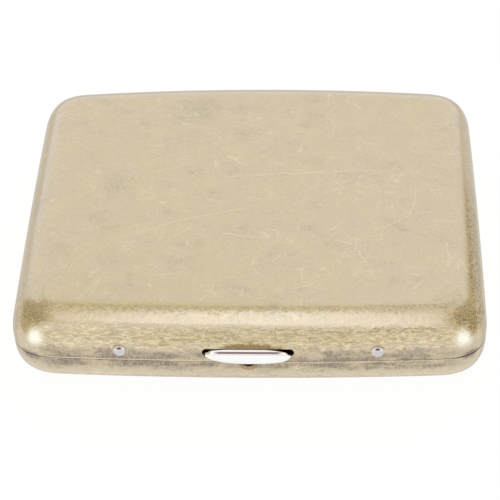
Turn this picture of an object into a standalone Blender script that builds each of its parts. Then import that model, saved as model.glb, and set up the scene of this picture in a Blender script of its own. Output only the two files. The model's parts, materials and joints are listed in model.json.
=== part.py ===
"""Cigarette case: two pressed brass halves, hinged at the back and latched at the front.

Metres, +Z up. The origin is the centre of the base's flat underside, +X runs along the hinge and the
latch faces -Y. Each half is modelled from the seam plane, where the two rims meet.
"""

from math import acos, asin, atan2, cos, hypot, pi, radians, sin

import bmesh
import bpy
from mathutils import Matrix, Vector
from mathutils.geometry import interpolate_bezier

# The case, outside
CASE_WIDTH = 0.097
CASE_DEPTH = 0.0793
PLAN_CORNER = 0.0081
FRONT_BOW = 0.00085
BACK_BOW = 0.0016
SIDE_BOW = 0.0002
LID_ROUND = 0.0078
BASE_ROUND = 0.00785
SHEET = 0.0006
SEAM_GAP = 0.0003

# What it holds: one layer of cigarettes in each half, with spare height under the retainer arm
CIGARETTE = 0.0078
LID_SPARE = 0.00015
BASE_SPARE = 0.0015

# Thumb-piece: a plate folded along its length, its face with blunt ends and its flange a lens, and its
# slot in the lid's front wall
THUMB_WIDTH = 0.0173
THUMB_FACE = 0.00195
THUMB_FULLNESS = 2.6
FLANGE_WIDTH = 0.0138
THUMB_FLANGE = 0.00105
THUMB_SHEET = 0.0004
THUMB_TOP = 0.00275
THUMB_REACH = 0.00055
THUMB_SLOPE = radians(18)
TONGUE_WIDTH = 0.0052
TAB_TIP_WIDTH = 0.0036
TAB_DROP = 0.0019
SLOT_HEIGHT = 0.0016
SLOT_SIDE_GAP = 0.00055
SLOT_TOP_GAP = 0.00055

# Spring strip behind the slot, its rivets, the hook and the stud that joins them
RIVET_X = 0.02575
RIVET_Z = 0.0025
RIVET_HEAD = 0.00124
RIVET_DOME = 0.00065
RIVET_SHANK = 0.00075
TAIL_HEIGHT = 0.0004
TAIL_OVERHANG = 0.0004
STRIP_SHEET = 0.00035
STRIP_HEIGHT = 0.0032
STRIP_Z = 0.00205
STRIP_TIP = 0.0018
STRIP_END = 0.0019
STRIP_OFFSET = 0.0006
JOGGLE_START = 0.0035
JOGGLE_RUN = 0.0025
HOOK_SHEET = 0.0005
HOOK_WIDTH = 0.0034
HOOK_HEAD = 0.0056
NOSE_GAP = 0.0003
STUD_RADIUS = 0.00045
STUD_HEAD = 0.00075
STUD_HEAD_HEIGHT = 0.0003
STUD_HEAD_FLAT = 0.0006
STUD_DROP = 0.00135

# Catch plate and the half-round notch through it and the base's rim
CATCH_WIDTH = 0.012
CATCH_SHEET = 0.0007
CATCH_WRAP = radians(20)
NOTCH_RADIUS = 0.0024

# Hinge: two leaves with rolled knuckles on one pin
HINGE_LENGTH = 0.048
KNUCKLES = 7
KNUCKLE_GAP = 0.0003
LEAF_SHEET = 0.0004
LEAF_WRAP = radians(30)
LEAF_BEND = 0.00035
PIN_RADIUS = 0.0007
PIN_CLEARANCE = 0.00012
HINGE_OFFSET = 0.0002
ROLL_TURN = radians(280)

# Retainer arms, one in each half
ARM_WIDTH = 0.0084
ARM_SHEET = 0.0004
ARM_TIP_MARGIN = 0.0025
ARM_BEND = 0.0008
PIVOT_HEIGHT = 0.0039
EYE_TURN = radians(270)
WINDOW_WIDTH = 0.0030
WINDOW_HEIGHT = 0.0026
BRACKET_SHEET = 0.0005
BRACKET_NOSE = 0.0035
BRACKET_TAIL = 0.0016
EAR_RADIUS = 0.0014
EAR_GAP = 0.0003
RETAINER_PIN = 0.0006
RETAINER_PIN_HEAD = 0.0010
COIL_WIRE = 0.00035
COIL_TURNS = 4
COIL_PITCH = 0.00045
COIL_LEG = 0.0031
COIL_LEAN = radians(27)

# Gaps between pieces that are soldered, riveted or run against each other
SEAT_GAP = 0.0003
STACK_GAP = 0.0002
BORE_GAP = 0.00015
BARREL_GAP = 0.0002
LEAF_SEAT = 0.00025

# How finely round shapes are divided
SIDE_STEPS = 3
CORNER_STEPS = 8
EDGE_STEPS = 8
LENS_STEPS = 8
FLANGE_STEPS = 3
BEND_STEPS = 5
DOME_STEPS = 4
SLOT_STEPS = 6
EAR_STEPS = 8
ROLL_STEPS = 14
TURNED_SIDES = 20
COIL_STEPS = 12

# Where a pointed or domed end is cut off, as a share of a step or of its whole sweep
LENS_TIP_SHARE = 0.3
LENS_CORNER_SHARE = 0.97
DOME_TIP_SHARE = 0.12

# Least values that keep a rounded edge inside its wall when a size changes
RIM_STRAIGHT = 0.0006
LEAST_CORNER = 0.0002

# Least share of a strip's sheet that a mitre keeps, and the share of a bend that its cut corner takes
MITRE_SHARE = 0.3
BEND_CORNER_SHARE = 0.3
FOLD_CORNER_SHARE = 0.12

# Width of the flat border that ends the shading of a rounded edge
FLAT_MARGIN = 0.0006

# Sizes that follow from those above
HALF_WIDTH = CASE_WIDTH / 2
HALF_DEPTH = CASE_DEPTH / 2
LID_HEIGHT = SHEET + CIGARETTE + LID_SPARE
BASE_HEIGHT = SHEET + CIGARETTE + BASE_SPARE
HINGE_Y = HALF_DEPTH + HINGE_OFFSET
ROLL_RADIUS = PIN_RADIUS + PIN_CLEARANCE + LEAF_SHEET / 2
BARREL_CLEAR = ROLL_RADIUS + LEAF_SHEET / 2 + BARREL_GAP
SLOT_TOP = THUMB_TOP + SLOT_TOP_GAP
STUD_Z = THUMB_TOP - STUD_DROP
KAPPA = 0.5523

# How a bent strip lies: its path is seen from the side, in plan or from the end
SIDE_VIEW = Matrix(((0, 0, 1), (1, 0, 0), (0, 1, 0)))
PLAN_VIEW = Matrix.Identity(3)
END_VIEW = Matrix(((1, 0, 0), (0, 0, 1), (0, 1, 0)))


class Half:
    """One pressed half, measured from the seam: up is 1 for the lid and -1 for the base."""

    def __init__(self, name, up, height, rounding):
        self.name = name
        self.up = up
        self.height = height
        self.rounding = min(rounding, height - RIM_STRAIGHT)
        self.straight = height - self.rounding

    def wall_inset(self, rise, depth=0.0):
        """How far a wall's surface, depth inside the sheet, has drawn in at a height above the seam."""
        radius = self.rounding - depth
        angle = asin(min(max(rise - self.straight, 0.0) / radius, 1.0))
        return depth + radius * (1 - cos(angle))

    def floor(self):
        """Height of the inner flat face above the seam."""
        return self.height - SHEET


LID = Half("lid", 1, LID_HEIGHT, LID_ROUND)
BASE = Half("base", -1, BASE_HEIGHT, BASE_ROUND)


# Meshes and objects

def clear_scene():
    for item in list(bpy.data.objects):
        bpy.data.objects.remove(item, do_unlink=True)


def make_material(name, colour, metallic, roughness):
    made = bpy.data.materials.new(name)
    made.use_nodes = True
    shader = made.node_tree.nodes["Principled BSDF"]
    shader.inputs["Base Color"].default_value = (*colour, 1.0)
    shader.inputs["Metallic"].default_value = metallic
    shader.inputs["Roughness"].default_value = roughness
    return made


def add_empty(name, location, parent=None):
    empty = bpy.data.objects.new(name, None)
    bpy.context.collection.objects.link(empty)
    empty.location = location
    empty.parent = parent
    return empty


def add_object(name, bm, finish, parent, location=(0, 0, 0)):
    """Turn a bmesh into a named object whose faces point out."""
    bmesh.ops.recalc_face_normals(bm, faces=bm.faces)
    mesh = bpy.data.meshes.new(name)
    bm.to_mesh(mesh)
    bm.free()
    mesh.shade_smooth()
    mesh.set_sharp_from_angle(angle=radians(35))
    made = bpy.data.objects.new(name, mesh)
    bpy.context.collection.objects.link(made)
    made.location = location
    made.parent = parent
    if finish:
        mesh.materials.append(finish)
    return made


def boolean(target, tool, operation="DIFFERENCE"):
    """Cut one object with another, which stays in the scene as a guide."""
    tool.hide_render = True
    tool.display_type = "WIRE"
    modifier = target.modifiers.new(tool.name, "BOOLEAN")
    modifier.operation = operation
    modifier.object = tool


def loft(rings):
    """One closed body through rings of equally many points, with a flat face on the first and last."""
    bm = bmesh.new()
    loops = [[bm.verts.new(point) for point in ring] for ring in rings]
    count = len(loops[0])
    for lower, upper in zip(loops, loops[1:]):
        for i in range(count):
            j = (i + 1) % count
            bm.faces.new((lower[i], lower[j], upper[j], upper[i]))
    bm.faces.new(loops[0])
    bm.faces.new(loops[-1])
    return bm


def bent_strip(path, half_widths, sheet, view):
    """A strip of sheet metal that follows a path, with its own width at each point of it."""
    rings = []
    for i, point in enumerate(path):
        here = Vector(point)
        ahead = (Vector(path[min(i + 1, len(path) - 1)]) - here).normalized()
        behind = (here - Vector(path[max(i - 1, 0)])).normalized()
        if i == 0:
            behind = ahead
        if i == len(path) - 1:
            ahead = behind
        along = (ahead + behind).normalized()
        across = Vector((-along.y, along.x))
        offset = across * (sheet / 2) / max(along.dot(ahead), MITRE_SHARE)
        wide = half_widths[i]
        corners = ((offset, -wide), (offset, wide), (-offset, wide), (-offset, -wide))
        rings.append([view @ Vector((*(here + side), w)) for side, w in corners])
    return loft(rings)


def turned(profile, axis):
    """A round piece from (place along the axis, radius) pairs; the axis is X or Y."""
    rings = []
    for place, radius in profile:
        ring = []
        for i in range(TURNED_SIDES):
            angle = 2 * pi * i / TURNED_SIDES
            u = radius * cos(angle)
            v = radius * sin(angle)
            ring.append((place, u, v) if axis == "X" else (u, place, v))
        rings.append(ring)
    return loft(rings)


def box(low, high):
    """A plain block between two corners, for cutting."""
    bm = bmesh.new()
    add_box(bm, low, high)
    return bm


def add_box(bm, low, high):
    size = [b - a for a, b in zip(low, high)]
    centre = [(a + b) / 2 for a, b in zip(low, high)]
    bmesh.ops.create_cube(bm, size=1.0, matrix=Matrix.LocRotScale(Vector(centre), None, Vector(size)))


def prism(outline, low, high):
    """An outline of (y, z) points carried along X."""
    return loft([[(x, y, z) for y, z in outline] for x in (low, high)])


def arc(centre, radius, start, end, steps):
    """Points of an arc, as (first, second) coordinates, with both its ends."""
    return [(centre[0] + radius * cos(start + (end - start) * i / steps),
             centre[1] + radius * sin(start + (end - start) * i / steps)) for i in range(steps + 1)]


def bow_at(x, bow):
    """How far the front or back edge has drawn in at a distance from the middle of the case."""
    return bow * (x / (HALF_WIDTH - SIDE_BOW - PLAN_CORNER)) ** 2


# The two pressed halves

def plan_quarter(inset, bow):
    """A quarter of the plan outline, from the middle of a bowed edge round the corner to the right side."""
    corner = max(PLAN_CORNER - inset, LEAST_CORNER)
    reach_x = HALF_WIDTH - inset
    reach_y = HALF_DEPTH - inset
    flat_x = reach_x - SIDE_BOW - corner
    flat_y = reach_y - bow - corner
    edge = [Vector((flat_x * i / SIDE_STEPS, -reach_y + bow * (i / SIDE_STEPS) ** 2))
            for i in range(SIDE_STEPS + 1)]
    side = [Vector((reach_x - SIDE_BOW * (i / SIDE_STEPS) ** 2, -flat_y * i / SIDE_STEPS))
            for i in range(SIDE_STEPS, -1, -1)]
    leave = Vector((1, 2 * bow / flat_x)).normalized()
    arrive = Vector((2 * SIDE_BOW / flat_y, 1)).normalized()
    turn = interpolate_bezier(edge[-1], edge[-1] + leave * KAPPA * corner,
                              side[0] - arrive * KAPPA * corner, side[0], CORNER_STEPS + 1)
    return edge + [Vector(point[:2]) for point in turn[1:-1]] + side


def plan_ring(inset):
    """Plan outline of the case drawn in by inset: four gently bowed sides with round corners."""
    ring = []
    for sign_x, sign_y in ((1, 1), (1, -1), (-1, -1), (-1, 1)):
        quarter = plan_quarter(inset, FRONT_BOW if sign_y > 0 else BACK_BOW)
        points = [(point.x * sign_x, point.y * sign_y) for point in quarter]
        if sign_x * sign_y < 0:
            points.reverse()
        ring += points[:-1]
    return ring


def edge_rings(half, depth):
    """Rings of one surface of a half from its rim to its flat, depth inside the outer face."""
    radius = half.rounding - depth
    levels = [(depth, SEAM_GAP / 2)]
    for i in range(EDGE_STEPS + 1):
        angle = pi / 2 * i / EDGE_STEPS
        levels.append((half.rounding - radius * cos(angle), half.straight + radius * sin(angle)))
    levels.append((half.rounding + FLAT_MARGIN, half.height - depth))
    return [[(x, y, half.up * z) for x, y in plan_ring(inset)] for inset, z in levels]


def pressed_shell(half, finish, parent, location):
    """The drawn sheet of one half: its inner face, its rim and its outer face in one skin."""
    inner = edge_rings(half, SHEET)
    inner.reverse()
    return add_object(half.name + "_shell", loft(inner + edge_rings(half, 0.0)), finish, parent, location)


def hinge_cutter(half, parent, location):
    """Room in the back edge of a half for the hinge barrel."""
    wide = HINGE_LENGTH / 2 + KNUCKLE_GAP
    deep = BARREL_CLEAR + LEAF_SHEET / 2
    low = (-wide, HALF_DEPTH - 2 * half.rounding / 3, -deep)
    high = (wide, HINGE_Y + deep, deep)
    return add_object(half.name + "_hinge_cutter", box(low, high), None, parent, location)


def slot_cutter(parent, location):
    """The long slot with round ends that the thumb-piece comes out of."""
    radius = SLOT_HEIGHT / 2
    straight = THUMB_WIDTH / 2 + SLOT_SIDE_GAP - radius
    middle = SLOT_TOP - radius
    outline = arc((straight, middle), radius, -pi / 2, pi / 2, SLOT_STEPS)
    outline += arc((-straight, middle), radius, pi / 2, 3 * pi / 2, SLOT_STEPS)
    rings = [[(x, y, z) for x, z in outline] for y in (-HALF_DEPTH - SHEET, -HALF_DEPTH + LID.rounding / 2)]
    return add_object("slot_cutter", loft(rings), None, parent, location)


def bore_cutter(name, axis, radius, low, high, parent, location):
    """A round hole along X or Y."""
    return add_object(name, turned([(low, radius), (high, radius)], axis), None, parent, location)


# Hinge

def hinge_leaf(half, keeps_odd, finish, parent, location):
    """A leaf that hugs the inside of a half's back wall and rolls round the pin in every second place."""
    wall_y = HALF_DEPTH - bow_at(HINGE_LENGTH / 2, BACK_BOW)
    radius = half.rounding - SHEET - LEAF_SEAT - LEAF_SHEET / 2
    start = ROLL_RADIUS + LEAF_BEND
    least = asin(max(start - half.straight, 0.0) / radius)
    centre = (wall_y - half.rounding, half.straight)
    path = arc(centre, radius, LEAF_WRAP + least, least, BEND_STEPS)
    plate_y = path[-1][0]
    path += [(plate_y, start - LEAF_BEND / 2), (plate_y + LEAF_BEND / 2, start - LEAF_BEND)]
    path += [(HINGE_Y + y, z) for y, z in arc((0, 0), ROLL_RADIUS, pi / 2, pi / 2 - ROLL_TURN, ROLL_STEPS)]
    strip = [(y, half.up * z) for y, z in path]
    wide = [HINGE_LENGTH / 2] * len(strip)
    name = "hinge_leaf_" + half.name
    leaf = add_object(name, bent_strip(strip, wide, LEAF_SHEET, SIDE_VIEW), finish, parent, location)

    pitch = HINGE_LENGTH / KNUCKLES
    clear = Vector((0, BARREL_CLEAR, BARREL_CLEAR))
    cuts = bmesh.new()
    for i in range(KNUCKLES):
        if i % 2 == keeps_odd:
            continue
        left = -HINGE_LENGTH / 2 + pitch * i - KNUCKLE_GAP / 2
        right = left + pitch + KNUCKLE_GAP
        add_box(cuts, Vector((left, HINGE_Y, 0)) - clear, Vector((right, HINGE_Y, 0)) + clear)
    boolean(leaf, add_object(name + "_cutter", cuts, None, parent, location))
    return leaf


def hinge_pin(finish, parent):
    """The pin, with slightly chamfered ends, kept just inside the outer knuckles."""
    end = HINGE_LENGTH / 2 - KNUCKLE_GAP
    chamfer = PIN_RADIUS / 4
    profile = [(-end, PIN_RADIUS - chamfer), (-end + chamfer, PIN_RADIUS)]
    profile += [(-place, radius) for place, radius in reversed(profile)]
    return add_object("hinge_pin", turned(profile, "X"), finish, parent)


# Latch

def front_wall(half, rise, depth, x=0.0):
    """Y of the front wall's surface, depth inside the sheet, at a height above the seam."""
    return -(HALF_DEPTH - bow_at(x, FRONT_BOW)) + half.wall_inset(rise, depth)


STRIP_FACE = front_wall(LID, STRIP_Z + STRIP_HEIGHT / 2, SHEET, RIVET_X) + BORE_GAP
STRIP_MIDDLE = STRIP_FACE + STRIP_OFFSET
TAB_Y = STRIP_MIDDLE - STACK_GAP - THUMB_SHEET / 2
HOOK_Y = STRIP_MIDDLE + STRIP_SHEET + STACK_GAP + HOOK_SHEET / 2


def thumb_piece(finish, parent, location):
    """A folded plate: its blunt-ended face slopes down and out, its flange and tongue run in at the slot."""
    half = THUMB_WIDTH / 2
    fold_y = -(HALF_DEPTH + THUMB_REACH) + THUMB_SHEET / 2
    fold_z = THUMB_TOP - THUMB_SHEET / 2
    bend = THUMB_SHEET

    path = []
    wide = []
    for i in range(LENS_STEPS):
        angle = pi / 2 * (i + LENS_TIP_SHARE) / LENS_STEPS
        down = THUMB_FACE * cos(angle) ** (2 / THUMB_FULLNESS)
        path.append((fold_y - down * sin(THUMB_SLOPE), fold_z - down * cos(THUMB_SLOPE)))
        wide.append(half * sin(angle) ** (2 / THUMB_FULLNESS))
    path.append((fold_y + bend * FOLD_CORNER_SHARE, fold_z - bend * FOLD_CORNER_SHARE))
    wide.append(half)

    flange = FLANGE_WIDTH / 2
    flange_radius = (flange ** 2 + THUMB_FLANGE ** 2) / (2 * THUMB_FLANGE)
    flange_angle = asin(flange / flange_radius) * LENS_CORNER_SHARE
    tongue = TONGUE_WIDTH / 2
    tongue_angle = asin(tongue / flange_radius)
    for i in range(FLANGE_STEPS + 1):
        angle = flange_angle + (tongue_angle - flange_angle) * i / FLANGE_STEPS
        path.append((fold_y + THUMB_FLANGE - flange_radius * (1 - cos(angle)) + bend / 3, fold_z))
        wide.append(flange_radius * sin(angle))
    path += [(TAB_Y - bend / 2, fold_z), (TAB_Y, fold_z - bend / 2)]
    path += [(TAB_Y, fold_z - TAB_DROP + bend), (TAB_Y, fold_z - TAB_DROP)]
    wide += [tongue, tongue, tongue, TAB_TIP_WIDTH / 2]

    body = bent_strip(path, wide, THUMB_SHEET, SIDE_VIEW)
    plate = add_object("thumb_piece", body, finish, parent, location)
    stud_hole = stud_bore("thumb_bore_cutter", TAB_Y - THUMB_SHEET, TAB_Y + THUMB_SHEET, parent, location)
    boolean(plate, stud_hole)
    return plate


def stud_bore(name, low, high, parent, location):
    """The hole for the stud through one of the pieces that it joins."""
    place = Vector(location) + Vector((0, 0, STUD_Z))
    return bore_cutter(name, "Y", STUD_RADIUS + BORE_GAP, low, high, parent, place)


def latch_strip(finish, parent, location):
    """The flat spring: its ends lie on the wall, its middle stands off it to leave room for the tab."""
    near = STRIP_FACE + STRIP_SHEET / 2
    far = STRIP_MIDDLE + STRIP_SHEET / 2
    end = RIVET_X + STRIP_END
    start = RIVET_X - JOGGLE_START
    finish_x = start - JOGGLE_RUN
    right = [(finish_x, far), (start, near), (end - STRIP_END / 3, near), (end, near)]
    path = [(-x, y) for x, y in reversed(right)] + right
    wide = [STRIP_TIP / 2] + [STRIP_HEIGHT / 2] * (len(right) - 1)
    body = bent_strip(path, wide + wide[::-1], STRIP_SHEET, PLAN_VIEW)
    strip = add_object("latch_spring", body, finish, parent, Vector(location) + Vector((0, 0, STRIP_Z)))
    bore = RIVET_SHANK + BORE_GAP
    for side, x in (("left", -RIVET_X), ("right", RIVET_X)):
        place = Vector(location) + Vector((x, 0, RIVET_Z))
        hole = bore_cutter("strip_bore_" + side, "Y", bore, near - SHEET, near + SHEET, parent, place)
        boolean(strip, hole)
    stud_hole = stud_bore("strip_stud_cutter", STRIP_MIDDLE - SHEET, STRIP_MIDDLE + SHEET, parent, location)
    boolean(strip, stud_hole)
    return strip


def latch_rivet(side, x, finish, parent, location):
    """A domed rivet through the lid's wall and the end of the strip, headed over inside."""
    seat = front_wall(LID, 0.0, 0.0, RIVET_X) - BORE_GAP
    sphere = (RIVET_HEAD ** 2 + RIVET_DOME ** 2) / (2 * RIVET_DOME)
    sweep = acos((sphere - RIVET_DOME) / sphere)
    profile = []
    for i in range(DOME_STEPS + 1):
        angle = sweep * (DOME_TIP_SHARE + (1 - DOME_TIP_SHARE) * i / DOME_STEPS)
        profile.append((seat - RIVET_DOME + sphere * (1 - cos(angle)), sphere * sin(angle)))
    tail = STRIP_FACE + STRIP_SHEET + BORE_GAP
    wide = RIVET_SHANK + TAIL_OVERHANG
    profile += [(seat, RIVET_SHANK), (tail, RIVET_SHANK), (tail, wide)]
    profile += [(tail + TAIL_HEIGHT / 2, wide), (tail + TAIL_HEIGHT, RIVET_SHANK)]
    return add_object("latch_rivet_" + side, turned(profile, "Y"), finish, parent,
                      (location[0] + x, location[1], location[2] + RIVET_Z))


def catch_foot():
    """Depth below the seam of the catch plate's lower edge."""
    radius = BASE.rounding - SHEET - SEAT_GAP
    return BASE.straight + radius * sin(CATCH_WRAP)


def latch_hook(finish, parent, location):
    """A folded hook behind the strip, with a nose that turns out below the catch plate."""
    foot = -(catch_foot() + NOSE_GAP + HOOK_SHEET / 2)
    catch_inside = BASE.rounding - SHEET - SEAT_GAP - CATCH_SHEET
    nose = -(HALF_DEPTH - BASE.rounding) - catch_inside * cos(CATCH_WRAP) + NOSE_GAP
    top = STRIP_Z + STRIP_HEIGHT / 2 - STACK_GAP
    path = [(HOOK_Y, top), (HOOK_Y, STUD_Z - STUD_HEAD), (HOOK_Y, STUD_Z - 2 * STUD_HEAD)]
    path += [(HOOK_Y, foot + HOOK_SHEET / 2), (HOOK_Y - HOOK_SHEET / 2, foot), (nose, foot)]
    wide = [HOOK_HEAD / 2] * 2 + [HOOK_WIDTH / 2] * 4
    hook = add_object("latch_hook", bent_strip(path, wide, HOOK_SHEET, SIDE_VIEW), finish, parent, location)
    boolean(hook, stud_bore("hook_stud_cutter", HOOK_Y - HOOK_SHEET, HOOK_Y + HOOK_SHEET, parent, location))
    return hook


def latch_stud(finish, parent, location):
    """The stud through tab, strip and hook, with a head at each end."""
    front = TAB_Y - THUMB_SHEET / 2 - BORE_GAP
    back = HOOK_Y + HOOK_SHEET / 2 + BORE_GAP
    tall = STUD_HEAD_HEIGHT
    profile = [(front - tall, STUD_HEAD_FLAT), (front - tall / 2, STUD_HEAD), (front, STUD_HEAD)]
    profile += [(front, STUD_RADIUS), (back, STUD_RADIUS)]
    profile += [(back, STUD_HEAD), (back + tall / 2, STUD_HEAD), (back + tall, STUD_HEAD_FLAT)]
    return add_object("latch_stud", turned(profile, "Y"), finish, parent,
                      (location[0], location[1], location[2] + STUD_Z))


def catch_plate(notch, finish, parent):
    """The plate behind the base's front rim, formed to the wall and notched with it."""
    radius = BASE.rounding - SHEET - SEAT_GAP - CATCH_SHEET / 2
    centre = (-(HALF_DEPTH - BASE.rounding), -BASE.straight)
    path = [(centre[0] - radius, -SEAM_GAP)]
    path += arc(centre, radius, pi, pi + CATCH_WRAP, BEND_STEPS)
    wide = [CATCH_WIDTH / 2] * len(path)
    plate = add_object("catch_plate", bent_strip(path, wide, CATCH_SHEET, SIDE_VIEW), finish, parent)
    boolean(plate, notch)
    return plate


# Retainer arms

def arm_loaded_height():
    """Height of the arm's middle above its pivot when it lies on a layer of cigarettes."""
    return CIGARETTE - PIVOT_HEIGHT + ARM_SHEET / 2


def pivot_y(half):
    """Place of a retainer's pin: its bracket stands at the back end of the flat floor."""
    return HALF_DEPTH - half.rounding - BRACKET_TAIL - SEAT_GAP


def arm_reach(half):
    return pivot_y(half) + HALF_DEPTH - half.rounding - ARM_TIP_MARGIN


def rest_angle(half):
    """How far the arm has dropped from lying level on cigarettes to resting on the empty floor."""
    under = arm_loaded_height() - ARM_SHEET / 2
    reach = arm_reach(half)
    return atan2(under, reach) + asin((PIVOT_HEIGHT - SEAT_GAP) / hypot(reach, under))


def retainer_arm(half, finish, empty):
    """A strip rolled round the pin, up its neck and level along the cigarettes, with a round tip."""
    eye = RETAINER_PIN + BORE_GAP + ARM_SHEET / 2
    level = arm_loaded_height()
    reach = arm_reach(half)
    round_tip = ARM_WIDTH / 2
    path = arc((0, 0), eye, EYE_TURN - pi, -pi, ROLL_STEPS)
    corner = ARM_BEND * BEND_CORNER_SHARE
    path += [(-eye, level - ARM_BEND), (-eye - corner, level - corner), (-eye - ARM_BEND, level)]
    wide = [round_tip] * len(path)
    for i in range(LENS_STEPS + 1):
        turn = pi / 2 * min(i / LENS_STEPS, LENS_CORNER_SHARE)
        path.append((-(reach - round_tip + round_tip * sin(turn)), level))
        wide.append(round_tip * cos(turn))
    strip = [(y, half.up * -z) for y, z in path]
    body = bent_strip(strip, wide, ARM_SHEET, SIDE_VIEW)
    arm = add_object(half.name + "_retainer_arm", body, finish, empty)
    low = (-WINDOW_WIDTH / 2, -2 * eye, min(half.up * 2 * eye, -half.up * WINDOW_HEIGHT))
    high = (WINDOW_WIDTH / 2, 2 * eye, max(half.up * 2 * eye, -half.up * WINDOW_HEIGHT))
    boolean(arm, add_object(half.name + "_window_cutter", box(low, high), None, empty))
    return arm


def retainer_spring(half, finish, empty):
    """A torsion spring round the pin: one leg stands on the bracket, the other presses on the neck."""
    radius = RETAINER_PIN + BORE_GAP + COIL_WIRE
    foot = -(PIVOT_HEIGHT - SEAT_GAP - BRACKET_SHEET - COIL_WIRE / 2 - SEAT_GAP)
    width = COIL_TURNS * COIL_PITCH
    points = [(-width / 2, radius, foot), (-width / 2, radius, foot / 2)]
    steps = COIL_TURNS * COIL_STEPS
    for i in range(steps + 1):
        angle = (2 * pi * COIL_TURNS + COIL_LEAN) * i / steps
        points.append((-width / 2 + width * i / steps, radius * cos(angle), radius * sin(angle)))
    points.append((width / 2, radius * cos(COIL_LEAN) - COIL_LEG * sin(COIL_LEAN),
                   radius * sin(COIL_LEAN) + COIL_LEG * cos(COIL_LEAN)))
    curve = bpy.data.curves.new(half.name + "_retainer_spring", "CURVE")
    curve.dimensions = "3D"
    curve.bevel_depth = COIL_WIRE / 2
    curve.bevel_resolution = 1
    curve.use_fill_caps = True
    spline = curve.splines.new("POLY")
    spline.points.add(len(points) - 1)
    for point, (x, y, z) in zip(spline.points, points):
        point.co = (x, y, -half.up * z, 1.0)
    curve.materials.append(finish)
    spring = bpy.data.objects.new(half.name + "_retainer_spring", curve)
    bpy.context.collection.objects.link(spring)
    spring.parent = empty
    return spring


def retainer_bracket(half, finish, parent, location):
    """A saddle soldered to the floor: a plate with two ears, cut to their side outline from a channel."""
    inside = ARM_WIDTH / 2 + EAR_GAP
    centre_x = inside + BRACKET_SHEET / 2
    foot = -(PIVOT_HEIGHT - SEAT_GAP) + BRACKET_SHEET / 2
    bend = BRACKET_SHEET
    top = EAR_RADIUS + BRACKET_SHEET
    right = [(centre_x - bend, foot), (centre_x, foot + bend), (centre_x, top)]
    path = [(-x, z) for x, z in reversed(right)] + right
    channel = [(x, -half.up * z) for x, z in path]
    wide = [BRACKET_NOSE + BRACKET_TAIL] * len(channel)
    body = bent_strip(channel, wide, BRACKET_SHEET, END_VIEW)
    bracket = add_object(half.name + "_retainer_bracket", body, finish, parent, location)

    low = foot - BRACKET_SHEET
    step = foot + 2 * BRACKET_SHEET
    outline = [(-BRACKET_NOSE, low), (BRACKET_TAIL, low), (BRACKET_TAIL, step)]
    outline += arc((0, 0), EAR_RADIUS, 0, pi, EAR_STEPS) + [(-BRACKET_NOSE, step)]
    outline = [(y, -half.up * z) for y, z in outline]
    beyond = centre_x + 2 * BRACKET_SHEET
    side = prism(outline, -beyond, beyond)
    boolean(bracket, add_object(half.name + "_bracket_profile", side, None, parent, location), "INTERSECT")
    bore = RETAINER_PIN + BORE_GAP
    boolean(bracket, bore_cutter(half.name + "_ear_bore", "X", bore, -beyond, beyond, parent, location))
    return bracket


def retainer_pin(half, finish, parent, location):
    """The pin through eye, spring and ears, with a low head outside each ear."""
    ear = ARM_WIDTH / 2 + EAR_GAP + BRACKET_SHEET + BORE_GAP
    head = BRACKET_SHEET
    profile = [(-ear - head, RETAINER_PIN), (-ear - head / 2, RETAINER_PIN_HEAD), (-ear, RETAINER_PIN_HEAD),
               (-ear, RETAINER_PIN)]
    profile += [(-place, radius) for place, radius in reversed(profile)]
    return add_object(half.name + "_retainer_pin", turned(profile, "X"), finish, parent, location)


def retainer(half, brass, steel, parent, origin):
    """Bracket, pin, spring and arm of one half; the arm turns about its own empty."""
    place = (origin[0], origin[1] + pivot_y(half), origin[2] + half.up * (half.floor() - PIVOT_HEIGHT))
    retainer_bracket(half, brass, parent, place)
    retainer_pin(half, steel, parent, place)
    empty = add_empty(half.name + "_retainer_axis", place, parent)
    empty.rotation_euler.x = -half.up * rest_angle(half)
    retainer_arm(half, brass, empty)
    retainer_spring(half, steel, empty)


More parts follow.
